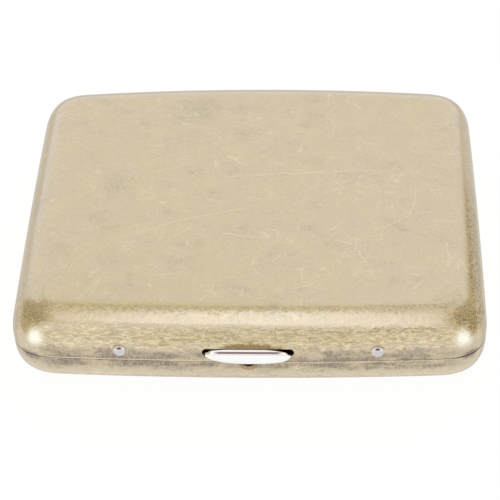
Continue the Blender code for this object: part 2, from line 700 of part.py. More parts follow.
def build():
    clear_scene()
    aged_brass = make_material("aged_brass", (0.66, 0.57, 0.39), 1.0, 0.35)
    bright_brass = make_material("bright_brass", (0.78, 0.62, 0.34), 1.0, 0.3)
    nickel = make_material("nickel", (0.82, 0.80, 0.77), 1.0, 0.12)
    spring_steel = make_material("spring_steel", (0.42, 0.42, 0.43), 1.0, 0.35)
    copper_wash = make_material("copper_wash", (0.80, 0.58, 0.42), 1.0, 0.35)

    seam = add_empty("seam", (0, 0, BASE_HEIGHT))
    base_origin = (0, 0, 0)
    base = pressed_shell(BASE, aged_brass, seam, base_origin)
    outside = -HALF_DEPTH - SHEET
    deep = -HALF_DEPTH + BASE.rounding / 2
    notch = bore_cutter("notch_cutter", "Y", NOTCH_RADIUS, outside, deep, seam, base_origin)
    boolean(base, notch)
    boolean(base, hinge_cutter(BASE, seam, base_origin))
    catch_plate(notch, copper_wash, seam)
    hinge_leaf(BASE, 0, bright_brass, seam, base_origin)
    hinge_pin(spring_steel, add_empty("pin_axis", (0, HINGE_Y, 0), seam))
    retainer(BASE, bright_brass, spring_steel, seam, base_origin)

    lid_axis = add_empty("lid_axis", (0, HINGE_Y, 0), seam)
    lid_origin = (0, -HINGE_Y, 0)
    lid = pressed_shell(LID, aged_brass, lid_axis, lid_origin)
    boolean(lid, hinge_cutter(LID, lid_axis, lid_origin))
    boolean(lid, slot_cutter(lid_axis, lid_origin))
    hinge_leaf(LID, 1, bright_brass, lid_axis, lid_origin)
    retainer(LID, bright_brass, spring_steel, lid_axis, lid_origin)
    latch_strip(spring_steel, lid_axis, lid_origin)
    bore = RIVET_SHANK + BORE_GAP
    for side, x in (("left", -RIVET_X), ("right", RIVET_X)):
        place = (x, -HINGE_Y, RIVET_Z)
        boolean(lid, bore_cutter("wall_bore_" + side, "Y", bore, outside, deep, lid_axis, place))
        latch_rivet(side, x, nickel, lid_axis, lid_origin)

    latch_axis = add_empty("latch_axis", lid_origin, lid_axis)
    latch_origin = (0, 0, 0)
    thumb_piece(nickel, latch_axis, latch_origin)
    latch_hook(spring_steel, latch_axis, latch_origin)
    latch_stud(nickel, latch_axis, latch_origin)


build()
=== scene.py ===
"""Looks of the cigarette case: smooth pressed halves in aged brass, nickel latch parts and fittings inside.

Metres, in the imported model's frame: the case lies on z = 0 with its latch towards -Y.
"""

import json
from collections import namedtuple
from math import asin, atan2, cos, hypot, pi, radians, sin, tan

import bmesh
import bpy
from mathutils import Matrix, Vector
from mathutils.geometry import interpolate_bezier


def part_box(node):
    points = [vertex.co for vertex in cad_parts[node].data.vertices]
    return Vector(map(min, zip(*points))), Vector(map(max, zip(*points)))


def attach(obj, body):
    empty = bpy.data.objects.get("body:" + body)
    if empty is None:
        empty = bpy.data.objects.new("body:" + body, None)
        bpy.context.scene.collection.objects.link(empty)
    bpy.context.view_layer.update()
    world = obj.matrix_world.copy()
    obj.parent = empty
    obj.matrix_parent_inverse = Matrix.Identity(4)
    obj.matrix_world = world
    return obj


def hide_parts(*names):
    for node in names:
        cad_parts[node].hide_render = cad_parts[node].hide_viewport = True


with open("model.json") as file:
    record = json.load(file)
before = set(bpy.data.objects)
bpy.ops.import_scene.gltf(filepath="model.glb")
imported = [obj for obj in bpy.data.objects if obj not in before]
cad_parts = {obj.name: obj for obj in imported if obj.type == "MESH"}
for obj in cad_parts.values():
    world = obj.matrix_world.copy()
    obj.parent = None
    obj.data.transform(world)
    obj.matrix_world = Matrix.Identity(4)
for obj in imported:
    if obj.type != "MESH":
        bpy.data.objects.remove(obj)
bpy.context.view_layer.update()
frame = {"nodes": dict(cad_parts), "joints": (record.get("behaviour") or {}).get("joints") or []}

# The two pressed halves, as in the model; the corners run into the sides more gently
PLAN_CORNER = 0.0100
CORNER_PULL = 0.70
FRONT_BOW = 0.00085
BACK_BOW = 0.0016
SIDE_BOW = 0.0002
LID_ROUND = 0.0078
BASE_ROUND = 0.00785
SHEET = 0.0006
RIM_ROUND = 0.00014
RIM_GAP = 0.00005
FLAT_MARGIN = 0.0006
CROWN_WIDTH = 0.0013
CROWN_TURN = radians(3.2)
LEAST_CORNER = 0.0002

# The latch parts sit this much to the right of the middle
FRONT_SHIFT = 0.0002

# Openings in their walls
SLOT_HEIGHT = 0.0016
SLOT_SIDE_GAP = 0.0007
SLOT_TOP_GAP = 0.00055
NOTCH_WIDTH = 0.0039
NOTCH_DEPTH = 0.0026
NOTCH_BEVEL = 0.00065
NOTCH_BEVEL_WIDTH = 0.00034
NOTCH_BEVEL_DEPTH = 0.00055
HINGE_RECESS = 0.00162

# Thumb-piece
THUMB_WIDTH = 0.0170
THUMB_FACE = 0.00180
THUMB_FULLNESS_LEFT = 1.95
THUMB_FULLNESS_RIGHT = 2.6
FLANGE_WIDTH = 0.0166
FLANGE_SHIFT = -0.0003
FLANGE_POINT_LEFT = 0.35
FLANGE_POINT_RIGHT = 0.6
THUMB_FLANGE = 0.00105
FLANGE_RISE = radians(25)
THUMB_SHEET = 0.0004
THUMB_TOP = 0.00275
THUMB_REACH = 0.00055
THUMB_SLOPE = radians(24)
THUMB_FOLD = 0.00018
TIP_START = 0.86
TIP_DROP = 0.00045
TONGUE_WIDTH = 0.0052
TONGUE_CLEAR = 0.0001
TAB_INSET = 0.0005
TAB_BEND = 0.0003
TAB_DROP = 0.0019

# Most that its tips drop and that its fold takes, as shares of the depth there
MOST_DROP = 0.5
MOST_FOLD = 0.8

# Rivets, strip, hook, stud and catch plate
RIVET_X = 0.02575
RIVET_Z = 0.0025
RIVET_HEAD = 0.00124
RIVET_DOME = 0.00044
RIVET_SINK = 0.0002
RIVET_SHANK = 0.00075
TAIL_HEIGHT = 0.0004
TAIL_STRAIGHT = 0.0003
STRIP_Z = 0.00205
STRIP_SHEET = 0.00035
STRIP_HEIGHT = 0.0032
STRIP_TIP = 0.0018
STRIP_END = 0.0019
JOGGLE_START = 0.0035
JOGGLE_RUN = 0.0025
HOOK_SHEET = 0.0005
HOOK_WIDTH = 0.0034
HOOK_HEAD = 0.0056
HOOK_SHOULDER = 0.0006
STUD_RADIUS = 0.00045
STUD_HEAD = 0.00075
STUD_HEAD_HEIGHT = 0.0003
STUD_DROP = 0.00135
CATCH_WIDTH = 0.012
CATCH_SHEET = 0.0007
CATCH_WRAP = radians(20)
CATCH_NOTCH_GAP = 0.0004
BORE_GAP = 0.00015
SEAT_GAP = 0.0003

# Hinge
HINGE_LENGTH = 0.048
KNUCKLES = 7
KNUCKLE_GAP = 0.0003
LEAF_SHEET = 0.0004
LEAF_WRAP = radians(30)
LEAF_BEND = 0.00035
LEAF_SEAT = 0.00025
PIN_RADIUS = 0.0007
PIN_END = 0.35
PIN_CLEARANCE = 0.00012
ROLL_TURN = radians(280)

# Retainer arms
CIGARETTE = 0.0078
ARM_WIDTH = 0.0084
ARM_SHEET = 0.0004
ARM_TIP_MARGIN = 0.0025
ARM_BEND = 0.0008
ARM_TIP_SHARE = 0.985
PIVOT_HEIGHT = 0.0039
EYE_TURN = radians(270)
WINDOW_WIDTH = 0.0030
WINDOW_HEIGHT = 0.0026
BRACKET_SHEET = 0.0005
BRACKET_TAIL = 0.0016
EAR_GAP = 0.0003
RETAINER_PIN = 0.0006
RETAINER_PIN_HEAD = 0.0010
COIL_WIRE = 0.00035
COIL_TURNS = 4
COIL_PITCH = 0.00045
COIL_LEG = 0.0031
COIL_LEAN = radians(27)

# How finely round shapes are divided
SIDE_STEPS = 24
CORNER_STEPS = 28
EDGE_STEPS = 28
RIM_STEPS = 4
CROWN_STEPS = 6
ROUND_SIDES = 48
LENS_STEPS = 72
SMOOTH_ANGLE = radians(35)
SOFT_EDGE = 0.00006

# Lengths below which points fall together or a fold or flat is kept open
LEAST_STEP = 0.000001
WELD_REACH = 0.000005
LEAST_FOLD = 0.00001
LEAST_FLAT = 0.00002
NO_LENGTH = 1e-7

# The same along the small pieces: thumb-piece, latch, hinge and retainers
BEVEL_STEPS = 3
BEVEL_ANGLE = radians(40)
CAP_STEPS = 6
DOME_STEPS = 8
SLOT_STEPS = 12
THUMB_STEPS = 8
FLANGE_STEPS = 4
TAB_STEPS = 3
TAB_BEND_STEPS = 4
RIVET_STEPS = 16
JOGGLE_STEPS = 8
STRIP_TIP_STEPS = 6
HOOK_STEPS = 3
SHOULDER_STEPS = 6
CATCH_STEPS = 12
CATCH_WRAP_STEPS = 10
LEAF_STEPS = 20
LEAF_BEND_STEPS = 8
LEAF_REACH_STEPS = 4
ROLL_STEPS = 44
PIN_STEPS = 6
EYE_STEPS = 40
ARM_STEPS = 12
ARM_TIP_STEPS = 24
COIL_STEPS = 28
WIRE_SIDES = 12

# Where a domed end is cut off, as a share of its sweep
DOME_TIP_SHARE = 0.3 / DOME_STEPS
RIVET_TIP_SHARE = 0.2 / RIVET_STEPS

# The halves' place, from the model
LID_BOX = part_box("lid_shell")
BASE_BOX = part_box("base_shell")
HALF_WIDTH = BASE_BOX[1].x
HALF_DEPTH = BASE_BOX[1].y
SEAM = (LID_BOX[0].z + BASE_BOX[1].z) / 2
SLOT_TOP = THUMB_TOP + SLOT_TOP_GAP
STUD_Z = THUMB_TOP - STUD_DROP
FOLD_Y = -(HALF_DEPTH + THUMB_REACH)
HINGE_PLACE = next(joint["pos_m"] for joint in frame["joints"] if joint["name"] == "lid_hinge")
HINGE_Y = HINGE_PLACE[1]

# A half's name, the way it faces from the seam, its height and the rounding of its edge
Half = namedtuple("Half", "name up height rounding")
LID = Half("lid", 1, LID_BOX[1].z - SEAM, LID_ROUND)
BASE = Half("base", -1, SEAM - BASE_BOX[0].z, BASE_ROUND)

# How a bent strip lies: its path is seen from the side or in plan
SIDE_VIEW = Matrix(((0, 0, 1), (1, 0, 0), (0, 1, 0)))
PLAN_VIEW = Matrix.Identity(3)

# Camera, as the photograph was taken
CAMERA_AZIMUTH = radians(3.408)
CAMERA_ELEVATION = radians(45.312)
CAMERA_ROLL = radians(-2.321)
CAMERA_DISTANCE = 0.35336
CAMERA_TARGET = Vector((-0.000415, -0.00821, SEAM))
CAMERA_LENS = 119.318
CAMERA_SENSOR = 36.0
CAMERA_NEAR = 0.01

# Floor
FLOOR_SIDES = 96
FLOOR_RADIUS = 4.0
FLOOR_DROP = 0.0002
FLOOR_COLOUR = (0.90, 0.90, 0.90)
FLOOR_GLOW = 1.04
FLOOR_GLOW_SHARE = 0.90

# Studio: brightness of its parts, each lamp's heading, width and height in degrees, and the light's
# colour from dim to bright
ROOM_LEVEL = 0.58
MIDDLE_LEVEL = 0.86
FRONT_LEVEL = 1.03
SHELF_LEVEL = 0.86
HORIZON_LEVEL = 1.10
SWEEP_LEVEL = 0.99
BACK_LEVEL = 1.00
FLOOR_LEVEL = 1.00
LAMP_LEVEL = 1.22
SOFTBOX_LEVEL = 1.42
LENS_LEVEL = 0.15
LAMPS = ((44.0, 13.0, 13.0), (-41.0, 13.0, 7.0))
LAMP_TALL = 18.0
WHITE = (1.0, 1.0, 1.0)
SWEEP_FOOT = (1.00, 1.03, 1.14)
FLOOR_BEHIND = (0.79, 0.77, 0.75)
STUDIO_TINTS = ((0.10, (0.12, 0.10, 0.08)), (0.53, (0.625, 0.551, 0.413)), (0.80, (0.880, 0.828, 0.660)),
                (1.00, (1.0, 1.0, 1.0)), (1.40, (1.344, 1.386, 1.470)), (1.90, (2.20, 2.55, 3.00)))


# Node trees

MM = 1000.0
TO_DEGREES = 180 / pi
SOCKET_KINDS = {float: "Float", int: "Int", bool: "Bool", tuple: "Vector"}


class Value:
    """An output in a node tree. Arithmetic with it adds the nodes that work it out."""

    def __init__(self, socket):
        self.socket = socket
        self.tree = socket.id_data

    def __add__(self, other):
        return calc("ADD", self, other)

    def __radd__(self, other):
        return calc("ADD", other, self)

    def __sub__(self, other):
        return calc("SUBTRACT", self, other)

    def __rsub__(self, other):
        return calc("SUBTRACT", other, self)

    def __mul__(self, other):
        return calc("MULTIPLY", self, other)

    def __truediv__(self, other):
        return calc("DIVIDE", self, other)

    def __rtruediv__(self, other):
        return calc("DIVIDE", other, self)

    def __abs__(self):
        return calc("ABSOLUTE", self)


def feed(socket, value):
    """Link a value to an input, or set the input to a plain number, vector, colour or material."""
    if isinstance(value, Value):
        value.tree.links.new(value.socket, socket)
    elif socket.type == "RGBA":
        socket.default_value = (*value, 1.0)
    else:
        socket.default_value = value


def add_node(tree, kind, inputs=None, **settings):
    """Add a node, give it settings, and link or set its inputs by name or number."""
    node = tree.nodes.new(kind)
    for name, value in settings.items():
        setattr(node, name, value)
    for key, value in (inputs or {}).items():
        feed(node.inputs[key], value)
    return node


def out_of(tree, kind, inputs=None, output=0, **settings):
    """One output of a new node."""
    return Value(add_node(tree, kind, inputs, **settings).outputs[output])


def calc(operation, first, second=0.0, clamp=False):
    tree = (first if isinstance(first, Value) else second).tree
    return out_of(tree, "ShaderNodeMath", {0: first, 1: second}, operation=operation, use_clamp=clamp)


def calc_vector(operation, first, second):
    """Arithmetic with vectors; a distance and a dot product give a number."""
    slot = "Scale" if operation == "SCALE" else 1
    output = "Value" if operation in ("DISTANCE", "DOT_PRODUCT") else "Vector"
    return out_of(first.tree, "ShaderNodeVectorMath", {0: first, slot: second}, output, operation=operation)


def stretched(place, x, y, z):
    return calc_vector("MULTIPLY", place, (x, y, z))


def parts(vector):
    """The X, Y and Z of a vector."""
    return [Value(part) for part in add_node(vector.tree, "ShaderNodeSeparateXYZ", {0: vector}).outputs]


def fade(value, start, end, low=0.0, high=1.0):
    """Turn a value into a soft step: low at start and high at end."""
    return out_of(value.tree, "ShaderNodeMapRange", {"Value": value, "From Min": start, "From Max": end,
                                                     "To Min": low, "To Max": high},
                  interpolation_type="SMOOTHSTEP")


def between(value, low, high, softness):
    """1 between low and high, 0 outside, with soft edges."""
    return fade(value, low - softness, low + softness) * fade(value, high + softness, high - softness)


def blend_colours(share, first, second):
    return out_of(share.tree, "ShaderNodeMix", {0: share, 6: first, 7: second}, 2, data_type="RGBA")


def noise(place, scale, detail, output="Fac", **inputs):
    inputs = {"Vector": place, "Scale": scale, "Detail": detail, **inputs}
    return out_of(place.tree, "ShaderNodeTexNoise", inputs, output)


def wander(place, scale, detail):
    """A soft random shift in all three directions."""
    return calc_vector("SUBTRACT", noise(place, scale, detail, "Color"), (0.5, 0.5, 0.5))


def new_group(name, kind, inputs):
    """A node group and its inputs' values; each input has its default, or its type where it has none."""
    group = bpy.data.node_groups.new(name, kind)
    for label, default in inputs.items():
        plain = isinstance(default, str)
        socket_type = "NodeSocket" + (default if plain else SOCKET_KINDS[type(default)])
        socket = group.interface.new_socket(label, in_out="INPUT", socket_type=socket_type)
        if not plain:
            socket.default_value = default
    sockets = group.nodes.new("NodeGroupInput").outputs
    return group, {label: Value(sockets[label]) for label in inputs}


def give_out(group, label, value):
    """Finish a node group with its one output."""
    group.interface.new_socket(label, in_out="OUTPUT", socket_type=value.socket.bl_idname)
    feed(group.nodes.new("NodeGroupOutput").inputs[label], value)
    return group


def placed(group, place, **inputs):
    """The output of a shader group that is placed in a material."""
    return out_of(place.tree, "ShaderNodeGroup", {"Place": place, **inputs}, node_tree=group)


def cover_edge(cover):
    """Level that a noise exceeds on about the given share of a surface."""
    return 0.72 - cover * 0.44


def make_clouds():
    """Soft patches of a given size, in millimetres."""
    group, given = new_group("clouds", "ShaderNodeTree",
                             {"Place": "Vector", "Size": 5.0, "Detail": 3.0, "Contrast": 1.5})
    cloud = noise(given["Place"], 1.0 / given["Size"], given["Detail"], Roughness=0.6)
    return give_out(group, "Amount", calc("ADD", (cloud - 0.5) * given["Contrast"], 0.5, clamp=True))


def make_tarnish():
    """Ragged spots of a given size that cover a given share of the surface."""
    group, given = new_group("tarnish", "ShaderNodeTree",
                             {"Place": "Vector", "Size": 1.0, "Cover": 0.4, "Softness": 0.08})
    spots = noise(given["Place"], 1.0 / given["Size"], 6.0, Roughness=0.65, Distortion=0.4)
    edge = cover_edge(given["Cover"])
    return give_out(group, "Mask", fade(spots, edge - given["Softness"], edge + given["Softness"]))


def make_hairlines():
    """A family of long thin scratches that run one way, drift sideways and break off."""
    group, given = new_group("hairlines", "ShaderNodeTree",
                             {"Place": "Vector", "Turn": 0.0, "Spacing": 3.0, "Width": 0.05, "Cover": 0.4,
                              "Drift": 1.5})
    shift = calc_vector("SCALE", wander(given["Place"], 0.045, 1.0), given["Drift"] * 10.0)
    along = out_of(group, "ShaderNodeVectorRotate",
                   {"Vector": calc_vector("ADD", given["Place"], shift), "Angle": given["Turn"]},
                   rotation_type="Z_AXIS")
    cells = out_of(group, "ShaderNodeTexVoronoi",
                   {"Vector": stretched(along, 0.06, 1.0, 1.0), "Scale": 1.0 / given["Spacing"]},
                   feature="DISTANCE_TO_EDGE")
    line = fade(cells * given["Spacing"], given["Width"], 0.0)
    edge = cover_edge(given["Cover"])
    return give_out(group, "Mask", line * fade(noise(along, 0.22, 2.0), edge, edge + 0.08))


def make_line_mark():
    """One straight scratch between two points, with soft edges and a slight waver."""
    group, given = new_group("line_mark", "ShaderNodeTree",
                             {"Place": "Vector", "Start": "Vector", "Reach": (1.0, 0.0, 0.0), "Width": 0.1})
    place = given["Place"]
    reach = given["Reach"]
    shift = stretched(wander(place, 0.8, 2.0), 0.5, 0.5, 0.0)
    from_start = calc_vector("SUBTRACT", calc_vector("ADD", place, shift), given["Start"])
    share = calc("DIVIDE", calc_vector("DOT_PRODUCT", from_start, reach),
                 calc_vector("DOT_PRODUCT", reach, reach), clamp=True)
    away = calc_vector("DISTANCE", from_start, calc_vector("SCALE", reach, share))
    kept = fade(noise(place, 0.9, 2.0), 0.36, 0.56, 0.35, 1.0)
    return give_out(group, "Mask", fade(away, given["Width"], 0.0) * kept)


CLOUDS = make_clouds()
TARNISH = make_tarnish()
HAIRLINES = make_hairlines()
LINE_MARK = make_line_mark()


# Materials

def new_material(name):
    """A material with its shader's inputs, its place in millimetres and its object-space normal."""
    made = bpy.data.materials.new(name)
    made.use_nodes = True
    tree = made.node_tree
    coordinates = tree.nodes.new("ShaderNodeTexCoord").outputs
    place = out_of(tree, "ShaderNodeMapping", {"Vector": Value(coordinates["Object"]), "Scale": (MM, MM, MM)})
    return made, tree.nodes["Principled BSDF"].inputs, place, Value(coordinates["Normal"])


def bump(height, strength, distance, **below):
    """A normal from a height, on top of the normal below it."""
    return out_of(height.tree, "ShaderNodeBump",
                  {"Height": height, "Strength": strength, "Distance": distance, **below})


# Scratches that stand out on the lid, as the points they pass in plan (millimetres)
LID_SCRATCHES = (
    ((-6.0, 5.4), (5.4, 6.5), (24.6, 7.5)),
    ((-23.5, -11.6), (-15.4, -8.0), (-1.5, -4.2)),
    ((-17.1, -13.5), (-12.7, -10.2)),
    ((-32.7, -24.5), (-30.7, -21.8)),
    ((-20.6, -24.1), (-13.2, -22.9)),
    ((25.7, -10.6), (29.7, -8.9), (33.1, -6.3), (34.6, -1.9), (34.8, 1.5)),
    ((22.7, -14.8), (22.6, -17.8), (24.2, -20.1)),
    ((40.6, -14.2), (40.5, -17.0), (41.7, -19.8)),
    ((10.7, -22.1), (10.9, -25.7)),
    ((17.7, -13.6), (21.0, -14.8)),
    ((26.6, 0.9), (30.3, 0.7)),
    ((-0.8, -0.9), (1.9, -1.2)),
)
SCRATCH_WIDTH = 0.15

# Colours of the aged brass: rubbed metal, painted highlight and painted shade at the rims of the seam,
# painted shade over the latch, edges (where painted highlights and reflections mix with the tarnish) and seam
YELLOWISH = (0.675, 0.570, 0.384)
PINKISH = (0.640, 0.550, 0.422)
BROAD_SHADE = (0.565, 0.480, 0.345)
MOTTLE_SHADE = (0.50, 0.42, 0.29)
GRAIN_LIGHT = (0.80, 0.70, 0.51)
SMUDGE_GREY = (0.33, 0.31, 0.24)
# painted highlight on a rim of the seam, and painted shade in the seam gap
RIM_HIGHLIGHT = (0.88, 0.74, 0.52)
SEAM_GAP_SHADE = (0.09, 0.05, 0.035)
# painted shade above the slot, and painted shadow over the rivets
SLOT_SHADE_BROWN = (0.25, 0.165, 0.06)
RIVET_SHADOW_BROWN = (0.30, 0.20, 0.06)
PIT_BROWN = (0.38, 0.28, 0.11)
FLECK_LIGHT = (0.98, 0.85, 0.57)
# painted highlight on the lid's front corners
CORNER_HIGHLIGHT = (1.0, 0.94, 0.80)
# partly tarnish, partly a painted reflection of the brown room
SHOULDER_TARNISH_AND_REFLECTION = (0.46, 0.37, 0.14)
SPECK_DARK = (0.26, 0.20, 0.08)
CORNER_TARNISH_AND_REFLECTION = (0.44, 0.35, 0.14)
SEAM_TAN = (0.50, 0.41, 0.25)
PATINA_GREY = (0.262, 0.208, 0.176)
LINE_LIGHT = (0.90, 0.80, 0.58)

# Colours of the nickel, of the painted shade in the thumb-piece's fold and on its flange, and of the painted
# reflection on the rivets
THUMB_WHITE = (0.95, 0.94, 0.93)
THUMB_WORN = (0.91, 0.895, 0.88)
FLANGE_SHADE = (0.68, 0.645, 0.62)
# painted shade in the thumb-piece's fold
FOLD_SHADE = (0.11, 0.055, 0.045)
RIVET_GREY = (0.69, 0.655, 0.635)
RIVET_WORN = (0.60, 0.56, 0.54)
# painted reflection of the camera lens on the rivets
RIVET_LENS_REFLECTION = (0.10, 0.05, 0.05)

# Three families of hairlines on the case: turn, spacing, width, cover and drift
CASE_HAIRLINES = ((0.25, 1.7, 0.06, 0.46, 0.9), (1.75, 2.1, 0.06, 0.40, 1.2), (2.7, 2.6, 0.07, 0.36, 1.0))


def near_point(place, x, y, z, reach):
    """1 at a point (millimetres), fading to 0 at the reach."""
    return fade(calc_vector("DISTANCE", place, (x, y, z)), reach, 0.2 * reach)


def lid_marks(place, upper):
    """All of the lid's large scratches in one mask."""
    flat = stretched(place, 1.0, 1.0, 0.0)
    marks = 0.0
    for scratch in LID_SCRATCHES:
        for (x, y), (end_x, end_y) in zip(scratch, scratch[1:]):
            mask = placed(LINE_MARK, flat, Start=(x, y, 0.0), Reach=(end_x - x, end_y - y, 0.0),
                          Width=SCRATCH_WIDTH)
            marks = calc("MAXIMUM", marks, mask)
    return marks * upper


def case_lines(place, upper):
    """Hairlines and large scratches in one mask."""
    hairs = [placed(HAIRLINES, place, Turn=turn, Spacing=spacing, Width=width, Cover=cover, Drift=drift)
             for turn, spacing, width, cover, drift in CASE_HAIRLINES]
    hairs = calc("MAXIMUM", calc("MAXIMUM", hairs[0], hairs[1]), hairs[2])
    return calc("MAXIMUM", hairs * 0.50, lid_marks(place, upper))


def from_rivets(x):
    """Distance of a place from the middle of the nearer rivet, along X and in millimetres."""
    return abs(x - FRONT_SHIFT * MM) - RIVET_X * MM


def rubbed_ground(place, middle):
    """Colour of the rubbed metal: pinkish and yellowish patches, mottling, grain and a few grey smudges."""
    hue = placed(CLOUDS, stretched(place, 0.7, 1.0, 1.0), Size=4.5, Detail=6.0, Contrast=2.6)
    broad = placed(CLOUDS, place, Size=9.0, Detail=6.0, Contrast=3.2)
    grain = placed(CLOUDS, place, Size=0.40, Detail=3.0, Contrast=4.0)
    colour = blend_colours(hue, YELLOWISH, PINKISH)
    colour = blend_colours(broad * 0.18, colour, BROAD_SHADE)
    colour = blend_colours(middle * 0.16, colour, MOTTLE_SHADE)
    colour = blend_colours(grain * 0.30, colour, GRAIN_LIGHT)
    fine_dark = placed(TARNISH, place, Size=0.55, Cover=0.52, Softness=0.09)
    blots = placed(TARNISH, stretched(place, 0.7, 1.0, 1.0), Size=4.2, Cover=0.23, Softness=0.10)
    smudges = near_point(place, -12.0, 27.5, 18.0, 6.5) + near_point(place, -29.0, 3.0, 18.0, 5.0)
    smear = calc("MAXIMUM", blots, smudges) * (fine_dark * 0.90 + 0.10) * 0.32
    return blend_colours(smear, colour, SMUDGE_GREY)


def rim_highlight_and_shade(colour, x, ragged, upper, corner, from_seam):
    """Rims at the seam: a painted highlight on one side's rim and painted shade in the seam gap on the other,
    changing over in the middle; the shade is deeper at the corners.
    """
    to_right = fade(x + ragged, -14.0, 6.0)
    # painted highlight on the rim that catches the light
    bright = (upper * (1.0 - to_right) + (1.0 - upper) * to_right) * (1.0 - corner)
    highlight_strength = 0.85 - to_right * 0.35
    colour = blend_colours(bright * fade(from_seam, 0.42, 0.28) * highlight_strength, colour, RIM_HIGHLIGHT)
    # painted shade in the seam gap, deeper at the corners
    gap_shade = calc("ADD", corner * 0.5, to_right * 0.30 + 0.2, clamp=True)
    return blend_colours((1.0 - bright) * gap_shade * fade(from_seam, 0.24, 0.12), colour, SEAM_GAP_SHADE)


def latch_shade(colour, x, y, rise, ragged):
    """Painted shade in a brown bow above the thumb-piece's slot, and a painted shadow in a brown ring over
    each rivet.
    """
    over_slot = rise - SLOT_TOP * MM
    across = (x - 0.7) / 7.3
    bow_height = (1.0 - across * across) * 1.05
    in_front = fade(y, -25.0, -30.0)
    # painted shade: a bow above the slot
    bow = (fade(over_slot - (bow_height + ragged * 0.5), 0.35, -0.35) * fade(over_slot, -0.6, 0.0)
           * fade(bow_height, 0.0, 0.4) * in_front)
    beside = from_rivets(x)
    up = rise - RIVET_Z * MM
    from_rivet = calc("SQRT", beside * beside + up * up)
    # painted shadow: an arc just outside the upper part of each rivet's head
    ring = fade(from_rivet, 1.75, 1.35) * fade(up, 0.2, 0.9) * in_front
    return blend_colours(bow * 0.85, colour, SLOT_SHADE_BROWN), ring


